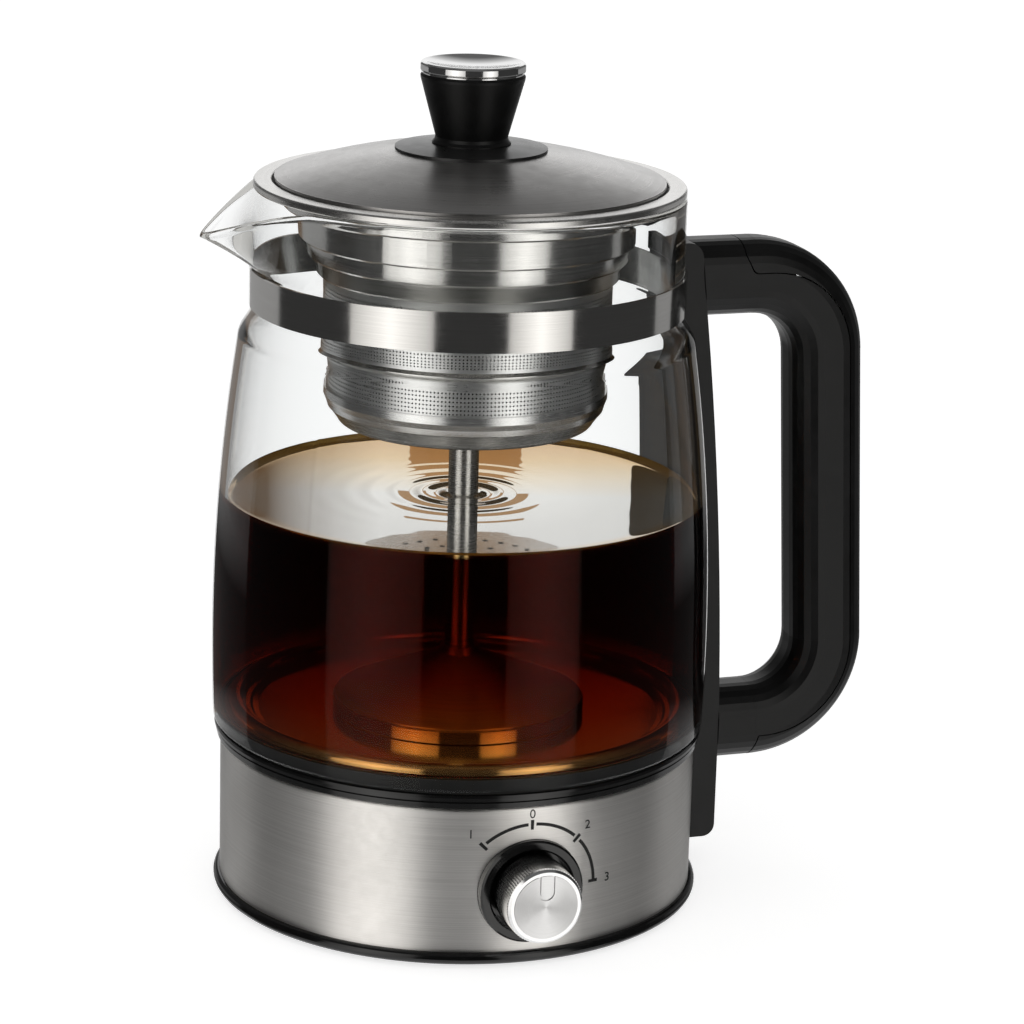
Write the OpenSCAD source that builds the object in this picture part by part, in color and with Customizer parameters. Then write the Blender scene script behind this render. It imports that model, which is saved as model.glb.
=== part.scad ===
// Electric percolator: a glass carafe on a heated steel base, with a pump, basket and lid that lift out.
// The table plane is z = 0 and the pot's axis is Z. The dial faces -Y, the grip +X and the spout -X.

/* [Base] */
// Outer radius of the steel base shell
base_r = 76; // [73:0.5:80]
// Height of the top edge of the base shell
base_top = 51; // [48:0.5:56]
// Sheet thickness of the base shell
base_wall = 1; // [0.8:0.1:1.5]
// How far the black rim stands out past the shell
rim_out = 2; // [1.2:0.1:3]
// Height of the top edge of the black rim
rim_top = 4.6; // [4.2:0.1:6]
// How far the rubber ring stands below the rim
foot_out = 0.8; // [0.4:0.1:1.2]
// Height of the black collar between shell and glass
collar_h = 5; // [4:0.5:7]
// Thickness of the bottom plate
plate_t = 2; // [1.6:0.1:2.4]

/* [Glass] */
// Wall thickness of the glass
glass_wall = 3; // [2.4:0.1:3.6]
// How far the belly of the glass stands out past the base shell
belly_out = 2.9; // [2:0.1:4]
// Height of the widest place above the foot of the glass
belly_up = 26; // [20:1:34]
// Radius of the long upright curve of the belly
belly_curve = 650; // [600:10:800]
// Height of the glass from its foot to the band
body_h = 134; // [124:1:144]
// Height of the shoulder between the belly and the band
shoulder_h = 10; // [8:0.5:16]
// Outer radius of the glass neck
neck_r = 67.2; // [65.5:0.1:69]
// Height of the neck above the band
neck_h = 24.2; // [22:0.2:28]
// How far the spout reaches past the neck
spout_out = 18.4; // [12:0.2:22]
// How far the lip dips at the tip of the spout
spout_dip = 10.4; // [6:0.2:13]
// Half the angle of the neck that the spout takes up
spout_half = 27; // [20:1:34]
// Height of the steel band
band_h = 12.2; // [10:0.2:14]
// Sheet thickness of the steel band
band_t = 0.8; // [0.6:0.1:1.2]

/* [Heater] */
// Sheet thickness of the heating plate
hot_t = 1; // [0.8:0.1:1.4]
// How far the middle of the heating plate lies below its flange
hot_drop = 1.9; // [1.5:0.1:3]
// Radius of the rolled rim of the heating plate
roll_r = 2.6; // [2.2:0.1:3]
// Radius of the aluminium spreader under the plate
spread_r = 54; // [48:1:58]
// Thickness of the aluminium spreader
spread_t = 3; // [2:0.25:4]
// Radius of the heater ring
heater_r = 42; // [38:1:44]
// Radius of the heater tube
heater_tube = 3.6; // [3:0.1:4]
// Distance of the heater's leads from the middle
lead_x = 12; // [10:0.5:14]
// Length of the heater's leads
lead_h = 10; // [8:0.5:12]
// Radius of the thermostat's body
stat_r = 8; // [7:0.5:9]
// Height of the thermostat's body
stat_h = 8; // [7:0.5:10]
// Length of the thermal fuse
fuse_len = 16; // [12:1:20]
// Radius of the thermal fuse
fuse_r = 2.5; // [2:0.1:3]

/* [Dial] */
// Height of the dial's axis
dial_z = 24; // [22:0.5:27]
// Outer radius of the black bezel
bezel_r = 16.4; // [15.4:0.2:17.4]
// Radius of the knurled dial
dial_r = 12.1; // [11:0.1:12.4]
// How far the dial's front stands out past the base shell
dial_out = 14.6; // [12:0.2:18]
// Number of knurls round the dial
knurls = 84; // [60:4:100]
// Radius of the switch shaft
shaft_r = 3; // [2.5:0.1:3.2]
// Width of the switch
switch_w = 28; // [26:1:30]
// Height of the switch
switch_h = 22; // [20:1:24]
// Depth of the switch
switch_d = 20; // [18:1:22]

/* [Inlet] */
// Width of the mains socket
inlet_w = 25; // [24:0.5:27]
// Height of the mains socket
inlet_h = 15; // [14:0.5:17]
// Distance between the two pins
pin_gap = 12.7; // [12:0.1:13.2]
// Radius of a pin
pin_r = 2.2; // [2:0.1:2.4]

/* [Grip] */
// Depth of the grip from its inner to its outer side
grip_d = 24.4; // [22:0.2:26]
// Width of the grip across the hand
grip_w = 23; // [21:0.5:25]
// Rounding of the grip's edges
grip_round = 9; // [7:0.25:10]
// Distance of the grip's middle from the base shell, at the upper arm
grip_reach = 42.8; // [40:0.2:48]
// How far the grip leans out between the upper and the lower arm
grip_lean = 8; // [4:0.5:10]
// Corner radius of the grip's middle line
grip_bend = 26.5; // [25:0.5:28]
// Wall thickness of the hollow grip
grip_wall = 2.8; // [2.2:0.1:3.4]
// Width of the seam round the outer cover
seam = 0.35; // [0.2:0.05:0.5]
// Width of the back plate along the carafe
strip_w = 22; // [18:0.5:24]
// Thickness of the back plate at the base
strip_t = 10; // [8:0.25:12]
// Thickness of the back plate at the upper arm
strip_high_t = 6; // [5:0.2:8]
// Fullness of the back plate between the arms
strip_mid_t = 2.8; // [2:0.1:5]
// Height of the lower end of the back plate
strip_low = 10; // [8:0.5:14]

/* [Lid] */
// Width of the flat ring between the dome and the edge
ring_w = 5.7; // [5:0.1:6.5]
// Radius of the dome's curve
dome_curve = 180; // [150:5:220]
// Radius of the black disc under the knob
disc_r = 23.6; // [20:0.2:27]
// Thickness of the black disc
disc_t = 0.8; // [0.6:0.1:1.2]
// Radius of the knob at its top
knob_r = 16.2; // [14:0.2:18]
// Radius of the knob at its foot
knob_foot = 11.2; // [9.5:0.2:13]
// Height of the knob without its cap
knob_h = 21.7; // [18:0.1:26]
// Height of the metal cap
cap_h = 3.6; // [3:0.1:5]
// Depth of the dish in the cap
dish_h = 1.5; // [0.6:0.1:2]
// Gap between the neck and the skirt of the lid
skirt_gap = 6.2; // [5.4:0.2:7]
// Depth of the skirt below the glass rim
skirt_h = 15.2; // [14:0.1:16]
// Depth of the skirt's wide upper part below the glass rim
skirt_tier = 5.3; // [4:0.1:7]
// Step from the wide part of the skirt to its narrow part
skirt_step = 6.4; // [5:0.2:7]
// Width of the lap seam that joins the skirt's strip
seam_w = 7.4; // [5:0.2:9]
// Raised thickness of the lap seam
seam_t = 0.4; // [0.3:0.1:0.6]
// Direction of the lap seam's open edge
seam_turn = -113.4; // [-180:0.2:180]

/* [Basket] */
// Sheet thickness of basket and lid
sheet = 0.8; // [0.6:0.05:1]
// Step from the narrow part of the lid's skirt to the basket's collar
step_a = 2.2; // [1.6:0.2:3]
// Step from the basket's collar to its second ring
step_b = 2.4; // [2.2:0.2:3.4]
// Height of each step of the collar
step_h = 5.2; // [4.8:0.1:6.2]
// Height of the upper perforated wall
sleeve_h = 22.2; // [18:0.2:26]
// Height of the lower perforated wall
mesh_h = 11; // [8:0.5:14]
// Height of the solid cup
cup_h = 11.4; // [9:0.2:14]

/* [Pump] */
// Outer radius of the stem
stem_r = 4.75; // [4.2:0.05:5.5]
// Wall thickness of the stem
stem_wall = 0.9; // [0.6:0.1:1.1]
// Outer radius of the bell
bell_r = 39.2; // [34:0.2:42]
// Height of the bell's cone
bell_h = 14.6; // [11:0.2:18]
// Height of the bell's upright edge
bell_edge = 4.6; // [4.2:0.2:8]
// Number of water slots in the bell's edge
bell_slots = 2; // [2:1:10]
// Turn of the first water slot from the grip
slot_turn = -18; // [-90:1:90]
// Play of the spreader plate inside the basket's collar
spreader_play = 1.4; // [1:0.1:1.8]
// Play of the spreader plate round the stem
stem_play = 3.8; // [3.2:0.1:4.4]

/* [Hidden] */
$fn = 96;
// gap between pieces that lift apart
rest = 0.3;
// running gap of a shaft in its bore
running = 0.05;
// small gap between pieces that are fixed together
fixed = 0.1;

rim_bottom = foot_out;
glass_z = base_top + collar_h;
glass_foot = glass_z + 0.4;
belly_r = base_r + belly_out;
belly_z = glass_z + belly_up;
band_z = glass_z + body_h;
neck_z = band_z + band_h;
rim_z = neck_z + neck_h;
neck_in = neck_r - glass_wall;
band_r = neck_r + fixed + band_t;
boss_end = band_r + 5.9;
boss_gap = 0.7;
collar_r = base_r + 2;

flange_z = glass_z + 4.9;
hot_z = flange_z - hot_drop;
flange_r = belly(glass_z) - glass_wall - 2.3;
roll_mid = flange_r - roll_r - 1;
spread_z = hot_z - hot_t - spread_t;
heater_z = spread_z - heater_tube;

skirt_r = neck_in - skirt_gap;
skirt_z = rim_z - skirt_h;
skirt_in = skirt_r - skirt_step;
tier_z = rim_z - skirt_tier;
lid_z = rim_z + rest;
ring_in = neck_r - 0.2 - ring_w;
ring_top = lid_z + 2.4;
dome_r = ring_in - 0.8;
dome_z = ring_top + 0.8;
dome_mid = dome_z - sqrt(dome_curve * dome_curve - dome_r * dome_r);
dome_top = dome_mid + dome_curve;
disc_top = dome_top + disc_t / 2;
knob_top = disc_top + knob_h;

basket_top = skirt_z - rest;
collar_a = skirt_in - step_a;
collar_b = collar_a - step_b;
sleeve_r = collar_b - 2;
step_z = basket_top - step_h;
collar_z = step_z - step_h - 0.4;
sleeve_z = collar_z - sleeve_h;
bead_z = sleeve_z - 4.8;
mesh_r = sleeve_r - 1.4;
mesh_z = bead_z + 1.4 - mesh_h;
cup_z = mesh_z + 1 - cup_h;
cup_r = mesh_r - 3;
tube_in = stem_r + 0.35;
tube_r = tube_in + sheet;

spreader_z = step_z + sheet + rest;
stem_top = spreader_z + 4.5;
bell_z = hot_z + rest;
bell_top = bell_z + bell_edge + bell_h;

grip_high_z = band_z + band_h / 2;
grip_low_z = base_top - 3.8;
grip_high_x = base_r + grip_reach;
grip_low_x = grip_high_x + grip_lean;
lean = atan(grip_lean / (grip_high_z - grip_low_z));
bend_high_x = grip_high_x - grip_bend * tan((90 - lean) / 2);
bend_low_x = grip_low_x - grip_bend * tan((90 + lean) / 2);
bend_high_z = grip_high_z - grip_bend;
bend_low_z = grip_low_z + grip_bend;
grip_len = norm([bend_low_x - bend_high_x, bend_high_z - bend_low_z]);

bezel_front = base_r + 1.8;
bezel_back = base_r - 7;
bezel_in = bezel_r - 3.2;
bezel_lip = 2.4;
dial_back = base_r + 0.5;
dial_front = base_r + dial_out;
bush_r = shaft_r + 1.6;
bush_h = 6;
switch_back = bezel_back - switch_d;
shaft_back = bezel_back - switch_d * 0.55;
tab_t = 0.8;
tab_w = 6;
stat_rim = 1;
fuse_y = stat_r + 14;
lead_r = 1.6;
wire_r = 1.4;
inlet_floor = base_r - 18;
pin_tail = 8;

// Outer radius of the belly at height z
function belly(z) = belly_r - belly_curve + sqrt(belly_curve * belly_curve - (z - belly_z) * (z - belly_z));
// Outer radius of the glass at height z, with the shoulder running smoothly into the neck below the band
shoulder_a = band_z - shoulder_h;
shoulder_b = band_z;
function ease(t) = 0.5 - 0.5 * cos(180 * min(1, max(0, t)));
function glass_r(z) =
    let (t = ease((z - shoulder_a) / (shoulder_b - shoulder_a))) belly(z) * (1 - t) + neck_r * t;
// Points of an arc about c
function arc(c, r, a0, a1, n = 8) =
    [for (i = [0:n]) let (a = a0 + (a1 - a0) * i / n) [c[0] + r * cos(a), c[1] + r * sin(a)]];
function unit(v) = v / norm(v);
// Points of a rounded corner at b on the way from a to c
function corner(a, b, c, r, n = 8) =
    let (
        u = unit(a - b),
        v = unit(c - b),
        half = acos(u * v) / 2,
        m = b + unit(u + v) * r / sin(half),
        p = b + u * r / tan(half) - m,
        q = b + v * r / tan(half) - m,
        a0 = atan2(p[1], p[0]),
        turn = atan2(p[0] * q[1] - p[1] * q[0], p * q)
    )
    arc(m, r, a0, a0 + turn, n);
// Point on a curve with one guide point
function curve(a, b, c, t) = a * (1 - t) * (1 - t) + b * 2 * t * (1 - t) + c * t * t;
function back(list) = [for (i = [len(list) - 1:-1:0]) list[i]];
// Upright outline of the glass between two heights, moved in by a wall
function glass_side(z0, z1, wall, n) =
    [for (i = [0:n]) let (z = z0 + (z1 - z0) * i / n) [glass_r(z) - wall, z]];

// Helpers for turned pieces, and for pieces that face the front, the back or the side
module turned(points) {
    rotate_extrude() polygon(points);
}
module tube(r_out, r_in, z0, z1) {
    turned([[r_in, z0], [r_out, z0], [r_out, z1], [r_in, z1]]);
}
module at_front() {
    translate([0, 0, dial_z]) rotate([90, 0, 0]) children();
}
module at_back() {
    translate([0, 0, dial_z]) rotate([-90, 0, 0]) children();
}
module sideways(w) {
    rotate([90, 0, 0]) linear_extrude(height = w, center = true) children();
}
module around(n, r) {
    for (i = [0:n - 1]) rotate([0, 0, 360 * i / n]) translate([r, 0, 0]) children();
}

// Base
foot_mid = base_r - 6;
shelf_r = base_r - 18;
cover_r = base_r - 10;
screw_ring = base_r - 14;
screw_r = 1.5;

module foot_ring() {
    color([0.08, 0.08, 0.08])
        turned([
            [foot_mid - 2.4, 0.4], [foot_mid - 2, 0], [foot_mid + 2, 0], [foot_mid + 2.4, 0.4],
            [foot_mid + 2.4, rim_bottom + 1.4], [foot_mid - 2.4, rim_bottom + 1.4]
        ]);
}

module base_ring() {
    edge = (rim_top - rim_bottom) / 2;
    lip = base_r - base_wall - 0.2;
    shelf_z = rim_bottom + plate_t + 0.2;
    color([0.1, 0.1, 0.1])
        difference() {
            turned(concat(
                [[foot_mid + 2.5, rim_bottom]],
                arc([base_r + rim_out - edge, rim_bottom + edge], edge, -90, 90, 10),
                [
                    [lip, rim_top], [lip, rim_top + 4.4], [lip - 2.2, rim_top + 4.4],
                    [lip - 2.2, shelf_z + 2.2],
                    [shelf_r, shelf_z + 2.2], [shelf_r, shelf_z], [cover_r + 0.2, shelf_z],
                    [cover_r + 0.2, rim_bottom],
                    [foot_mid - 2.5, rim_bottom], [foot_mid - 2.5, rim_bottom + 1.4],
                    [foot_mid + 2.5, rim_bottom + 1.4]
                ]
            ));
            at_front() translate([0, 0, bezel_back - 1]) cylinder(r = bezel_r + bezel_lip + 0.4, h = 12);
            rotate([0, 0, 45]) around(4, screw_ring) translate([0, 0, rim_bottom])
                cylinder(r = screw_r + running, h = 10);
        }
}

// Radial slots that let the warm air out
module vent_slots() {
    for (k = [0:11])
        rotate([0, 0, 30 * k]) translate([18, -1.5, -1]) cube([26, 3, 20]);
}

module bottom_plate() {
    color([0.14, 0.14, 0.14])
        difference() {
            translate([0, 0, rim_bottom + 0.2]) cylinder(r = cover_r, h = plate_t);
            vent_slots();
            rotate([0, 0, 45]) around(4, screw_ring) translate([0, 0, -1])
                cylinder(r = screw_r + 0.2, h = 10);
            rotate([0, 0, 45]) around(4, screw_ring) translate([0, 0, rim_bottom])
                cylinder(r = 3.2, h = 1.2);
        }
}

module bottom_screws() {
    color([0.6, 0.6, 0.62])
        rotate([0, 0, 45]) around(4, screw_ring) {
            translate([0, 0, rim_bottom + 0.2]) difference() {
                cylinder(r = 3, h = 1);
                translate([-2, -0.3, -1]) cube([4, 0.6, 1.5]);
                translate([-0.3, -2, -1]) cube([0.6, 4, 1.5]);
            }
            translate([0, 0, rim_bottom + 1]) cylinder(r = screw_r, h = plate_t + 0.8);
        }
}

module base_housing() {
    inner = base_r - base_wall;
    color([0.72, 0.7, 0.67])
        difference() {
            union() {
                turned(concat(
                    [[inner, rim_top], [base_r, rim_top]],
                    arc([base_r - 1.2, base_top - 1.2], 1.2, 0, 90, 5),
                    [[base_r - 6, base_top], [base_r - 6, base_top - base_wall],
                    [inner, base_top - base_wall]]
                ));
                translate([inner - 5, 0, grip_low_z]) rotate([0, 90, 0]) cylinder(r = 3.2, h = 5.4);
            }
            at_front() translate([0, 0, base_r - 30]) cylinder(r = bezel_r + fixed, h = 40);
            at_back() translate([-inlet_w / 2 - 2.6, -inlet_h / 2 - 2.6, base_r - 20])
                cube([inlet_w + 5.2, inlet_h + 5.2, 30]);
            translate([inner - 10, 0, grip_low_z]) rotate([0, 90, 0]) cylinder(r = 2.05, h = 20);
            translate([inner - 10, 0, strip_low + 6]) rotate([0, 90, 0]) cylinder(r = 2.6, h = 20);
        }
}

module collar_ring() {
    color([0.1, 0.1, 0.1])
        turned([
            [base_r - 6.2, base_top - 3], [base_r - 6.2, base_top], [base_r + 0.3, base_top],
            [base_r + 1.3, base_top + 0.5], [base_r + 1.5, base_top + collar_h * 0.44],
            [base_r + 1.1, base_top + collar_h * 0.5], [base_r + 1.1, base_top + collar_h * 0.54],
            [collar_r - 0.1, base_top + collar_h * 0.6], [collar_r, base_top + collar_h - 1],
            [collar_r - 0.3, base_top + collar_h - 0.3], [collar_r - 1, glass_z],
            [flange_r + 0.2, glass_z], [flange_r + 0.2, flange_z - hot_t], [flange_r - 3, flange_z - hot_t],
            [flange_r - 3, base_top], [base_r - 8.5, base_top], [base_r - 8.5, base_top - 3]
        ]);
}

module glass_seal() {
    inside = belly(glass_z) - glass_wall - 0.4;
    color([0.06, 0.06, 0.06])
        turned([
            [flange_r + 0.3, glass_z], [collar_r - 1.2, glass_z], [collar_r - 1.4, glass_foot],
            [inside, glass_foot], [inside, flange_z - 0.6], [inside - 0.6, flange_z - 0.1],
            [flange_r + 0.3, flange_z - 1]
        ]);
}

module heating_plate() {
    roll_in = roll_mid - roll_r;
    ramp = roll_in - 4;
    color([0.62, 0.62, 0.62])
        turned(concat(
            [[0, hot_z - hot_t], [ramp, hot_z - hot_t], [roll_in + hot_t, flange_z - hot_t]],
            arc([roll_mid, flange_z], roll_r - hot_t, 180, 0, 10),
            [[roll_mid + roll_r - hot_t, flange_z - hot_t], [flange_r, flange_z - hot_t],
            [flange_r, flange_z]],
            arc([roll_mid, flange_z], roll_r, 0, 180, 14),
            [[roll_in - 0.4, flange_z - 0.5], [ramp + 2.2, flange_z - hot_drop / 2 + 0.3]],
            [[ramp + 1.4, flange_z - hot_drop / 2 - 0.3], [ramp - 0.4, hot_z], [0, hot_z]]
        ));
}

module heat_spreader() {
    color([0.75, 0.76, 0.78])
        translate([0, 0, spread_z]) cylinder(r = spread_r, h = spread_t);
}

module heating_element() {
    pin_at = asin(lead_x / heater_r);
    tube_end = pin_at - 4;
    color([0.5, 0.48, 0.46])
        union() {
            translate([0, 0, heater_z]) rotate([0, 0, -90 + tube_end])
                rotate_extrude(angle = 360 - 2 * tube_end) translate([heater_r, 0]) circle(r = heater_tube);
            for (side = [-1, 1])
                rotate([0, 0, -90 + side * pin_at]) translate([heater_r, 0, heater_z - lead_h])
                    cylinder(r = lead_r, h = lead_h);
        }
}

module thermostat() {
    color([0.3, 0.26, 0.22])
        union() {
            translate([0, 0, spread_z - stat_rim]) cylinder(r = stat_r + 3, h = stat_rim);
            translate([0, 0, spread_z - stat_h]) cylinder(r = stat_r, h = stat_h - stat_rim / 2);
            for (side = [-1, 1])
                translate([side * stat_r * 0.56 - tab_t / 2, -tab_w / 2, spread_z - stat_h - tab_w])
                    cube([tab_t, tab_w, tab_w + 0.5]);
        }
}

module thermal_fuse() {
    color([0.85, 0.82, 0.72])
        union() {
            translate([-fuse_len / 2, fuse_y, spread_z - fuse_r]) rotate([0, 90, 0])
                cylinder(r = fuse_r, h = fuse_len);
            translate([-fuse_len * 0.875, fuse_y, spread_z - fuse_r]) rotate([0, 90, 0])
                cylinder(r = fuse_r / 4, h = fuse_len * 1.75);
        }
}

// Dial and switch
module rotary_switch() {
    color([0.16, 0.16, 0.17])
        difference() {
            union() {
                at_front() translate([-switch_w / 2, -switch_h / 2, switch_back])
                    cube([switch_w, switch_h, switch_d]);
                at_front() translate([0, 0, bezel_back - 1]) cylinder(r = bush_r, h = bush_h + 1);
                for (side = [-1, 1])
                    at_front()
                        translate([side * lead_x - tab_t / 2, switch_h / 2 - tab_w - 2, switch_back - 2 * tab_w])
                        cube([tab_t, tab_w, 2 * tab_w + 1]);
                for (side = [-1, 1])
                    at_front()
                        translate([side * pin_gap / 2 - tab_t / 2, 2 - switch_h / 2, switch_back - tab_w])
                        cube([tab_t, tab_w, tab_w + 1]);
            }
            at_front() translate([0, 0, shaft_back - 1])
                cylinder(r = shaft_r + running, h = switch_d + bush_h);
        }
}

module switch_nut() {
    color([0.66, 0.66, 0.66])
        difference() {
            at_front() translate([0, 0, bezel_back + 3]) cylinder(r = bush_r + 2.4, h = 2.4, $fn = 6);
            at_front() translate([0, 0, bezel_back]) cylinder(r = bush_r + running, h = 10);
        }
}

module dial_bezel() {
    color([0.08, 0.08, 0.08])
        at_front()
            turned([
                [bush_r + 0.1, bezel_back], [bezel_r + bezel_lip, bezel_back],
                [bezel_r + bezel_lip, bezel_back + 2],
                [bezel_r, bezel_back + 2], [bezel_r, bezel_front - 0.6], [bezel_r - 0.6, bezel_front],
                [bezel_in + 0.6, bezel_front], [bezel_in, bezel_front - 0.6], [bezel_in, bezel_back + 3],
                [bush_r + 0.1, bezel_back + 3]
            ]);
}

module dial_shaft() {
    color([0.7, 0.7, 0.72])
        difference() {
            at_front() translate([0, 0, shaft_back]) cylinder(r = shaft_r, h = dial_front - 5 - shaft_back);
            at_front() translate([-5, shaft_r - 1, dial_back + 1]) cube([10, 5, 30]);
        }
}

// Cross-section of the knurled part
module knurl_outline() {
    polygon([
        for (i = [0:2 * knurls - 1])
            let (a = 180 * i / knurls, r = i % 2 == 0 ? dial_r : dial_r - 0.4) [r * cos(a), r * sin(a)]
    ]);
}

module dial_knob() {
    color([0.74, 0.74, 0.75])
        difference() {
            at_front() union() {
                translate([0, 0, dial_back + 1.2])
                    linear_extrude(height = dial_front - dial_back - 2.6) knurl_outline();
                turned([[0, dial_back], [dial_r - 0.6, dial_back], [dial_r - 0.6, dial_back + 2],
                    [0, dial_back + 2]]);
                turned([
                    [0, dial_front - 2], [dial_r - 0.3, dial_front - 2], [dial_r - 0.3, dial_front - 0.7],
                    [dial_r - 1, dial_front], [0, dial_front]
                ]);
            }
            at_front() translate([0, 0, dial_front - 0.8]) cylinder(r = dial_r - 2, h = 2);
            at_front() difference() {
                translate([0, 0, dial_back - 10])
                    cylinder(r = shaft_r, h = dial_front - 5 - dial_back + 10);
                translate([-5, shaft_r - 1, dial_back + 1]) cube([10, 5, 30]);
            }
            at_front() translate([0, 0, dial_back - 1]) difference() {
                cylinder(r = dial_r - 2.4, h = 8);
                cylinder(r = shaft_r + 2.4, h = 8);
            }
        }
}

// U-shaped pointer groove, open towards the edge of the dial
module pointer_outline() {
    half = 2.6;
    difference() {
        union() {
            translate([0, dial_r - 7.4]) circle(r = half);
            translate([-half, dial_r - 7.4]) square([2 * half, 10]);
        }
        translate([0, dial_r - 7.4]) circle(r = half - 0.8);
        translate([0.8 - half, dial_r - 7.4]) square([2 * half - 1.6, 12]);
    }
}

module dial_face() {
    color([0.8, 0.8, 0.81])
        difference() {
            at_front() translate([0, 0, dial_front - 0.8]) cylinder(r = dial_r - 2 - 0.05, h = 1);
            at_front() translate([0, 0, dial_front - 0.2]) linear_extrude(height = 2) pointer_outline();
        }
}

// Mains socket and wires
module power_inlet() {
    color([0.1, 0.1, 0.1])
        difference() {
            at_back() union() {
                translate([-inlet_w / 2 - 2.5, -inlet_h / 2 - 2.5, inlet_floor - 3])
                    cube([inlet_w + 5, inlet_h + 5, 22]);
                translate([-inlet_w / 2 - 4.5, -inlet_h / 2 - 4.5, base_r - 7])
                    cube([inlet_w + 9, inlet_h + 9, 2]);
            }
            at_back() translate([-inlet_w / 2, -inlet_h / 2, inlet_floor]) cube([inlet_w, inlet_h, 40]);
            for (side = [-1, 1])
                at_back() translate([side * pin_gap / 2, 0, inlet_floor - 10])
                    cylinder(r = pin_r + running, h = 20);
        }
}

module inlet_pins() {
    color([0.78, 0.68, 0.4])
        for (side = [-1, 1])
            at_back() translate([side * pin_gap / 2, 0, inlet_floor - pin_tail]) union() {
                cylinder(r = pin_r, h = 22);
                translate([0, 0, 22]) cylinder(r1 = pin_r, r2 = pin_r - 1, h = 1.2);
            }
}

module inner_wires() {
    far = inlet_floor - pin_tail - wire_r;
    near = switch_back - tab_w - wire_r;
    half = (far + near) / 2;
    mid = (far - near) / 2;
    bow = base_r + 4;
    reach = sqrt(bow * bow - half * half);
    sweep = asin(half / bow);
    tab_top = dial_z + switch_h / 2 - 2;
    color([0.7, 0.2, 0.15])
        union() {
            for (side = [0, 1])
                mirror([side, 0, 0]) translate([pin_gap / 2 - reach, mid, dial_z]) rotate([0, 0, -sweep])
                    rotate_extrude(angle = 2 * sweep) translate([bow, 0]) circle(r = wire_r);
            for (side = [-1, 1])
                translate([side * lead_x, -sqrt(heater_r * heater_r - lead_x * lead_x), tab_top])
                    cylinder(r = wire_r, h = heater_z - lead_h - tab_top);
        }
}

// Glass
tip_x = neck_r + spout_out;
root_x = neck_r * cos(spout_half);
root_y = neck_r * sin(spout_half);
// Share of the way along the lip from the tip to the neck, at an angle d from the spout's middle
function lip_share(d) = tip_x * tan(d) / (root_y + (tip_x - root_x) * tan(d));
function lip_r(d) =
    abs(d) >= spout_half ? neck_r : (tip_x - (tip_x - root_x) * lip_share(abs(d))) / cos(d);
function lip_z(d) =
    abs(d) >= spout_half ? rim_z : rim_z - spout_dip * pow(1 - lip_share(abs(d)), 1.3);
spout_steps = 10;
spout_angles = concat(
    [for (i = [-spout_steps:spout_steps - 1]) spout_half * i / spout_steps],
    [for (i = [0:39]) spout_half + (360 - 2 * spout_half) * i / 40]
);
levels = 7;
// Point of the neck at angle d and level k, where k = 0 is the joint with the body
function neck_point(d, k, wall) =
    let (
        e = d > 180 ? d - 360 : d,
        t = max(0, (k - 1) / (levels - 1)),
        low = neck_z + 2,
        grown = neck_r + (lip_r(e) - neck_r) * pow(t, 1.15),
        r = k == 0 ? neck_r - 0.3 - wall * 0.8 : grown - wall,
        z = k == 0 ? neck_z - 3 : low + (lip_z(e) - low) * t
    )
    [-r * cos(d), -r * sin(d), z];

// Neck with the pinched spout, as a closed skin of outer and inner rings
module neck_with_spout() {
    n = len(spout_angles);
    rings = levels + 1;
    skin = [
        for (wall = [0, glass_wall])
            for (k = [0:levels])
                for (d = spout_angles)
                    neck_point(d, k, wall)
    ];
    inner = n * rings;
    sides = [
        for (k = [0:levels - 1])
            for (i = [0:n - 1])
                let (j = (i + 1) % n, a = k * n + i, b = k * n + j, c = a + n, d = b + n)
                each [[a, c, d], [a, d, b], [inner + a, inner + d, inner + c],
                    [inner + a, inner + b, inner + d]]
    ];
    ends = [
        for (i = [0:n - 1])
            let (j = (i + 1) % n, top = levels * n)
            each [
                [i, j, inner + j], [i, inner + j, inner + i],
                [top + i, inner + top + j, top + j], [top + i, inner + top + i, inner + top + j]
            ]
    ];
    polyhedron(points = skin, faces = concat(sides, ends));
}

module glass_carafe() {
    low = glass_foot + 1;
    color([0.8, 0.88, 0.9, 0.35])
        union() {
            turned(concat(
                [[glass_r(low) - glass_wall + 0.8, glass_foot], [glass_r(low) - 0.8, glass_foot]],
                glass_side(low, shoulder_a, 0, 16),
                glass_side(shoulder_a + 1, shoulder_b, 0, 8),
                [[neck_r, neck_z + 1], [neck_in, neck_z + 1]],
                back(glass_side(shoulder_a + 1, shoulder_b, glass_wall, 8)),
                back(glass_side(low, shoulder_a, glass_wall, 16))
            ));
            neck_with_spout();
        }
}

module neck_band() {
    color([0.78, 0.78, 0.78])
        difference() {
            union() {
                tube(band_r, neck_r + fixed, band_z, neck_z);
                translate([neck_r + 0.4, 0, grip_high_z]) rotate([0, 90, 0])
                    cylinder(r = 4.2, h = boss_end - neck_r - 0.4);
            }
            translate([neck_r + 1.6, 0, grip_high_z]) rotate([0, 90, 0]) cylinder(r = 2.05, h = 20);
        }
}

// Outline of everything that the back plate lies against
function pot_outline(gap) = concat(
    [[0, 0], [base_r + gap, 0], [base_r + gap, base_top - 0.5], [collar_r + gap, base_top + 1]],
    [[collar_r + gap, glass_z - 1]],
    [for (p = glass_side(glass_z + 0.5, shoulder_a, 0, 12)) p + [gap, 0]],
    [for (p = glass_side(shoulder_a + 1, band_z - 1, 0, 5)) p + [gap, 0]],
    [
        [band_r + gap, band_z - 0.8], [band_r + gap, neck_z + 0.8], [neck_r + gap, neck_z + 1.4],
        [neck_r + gap, rim_z + 20], [0, rim_z + 20]
    ]
);

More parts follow.
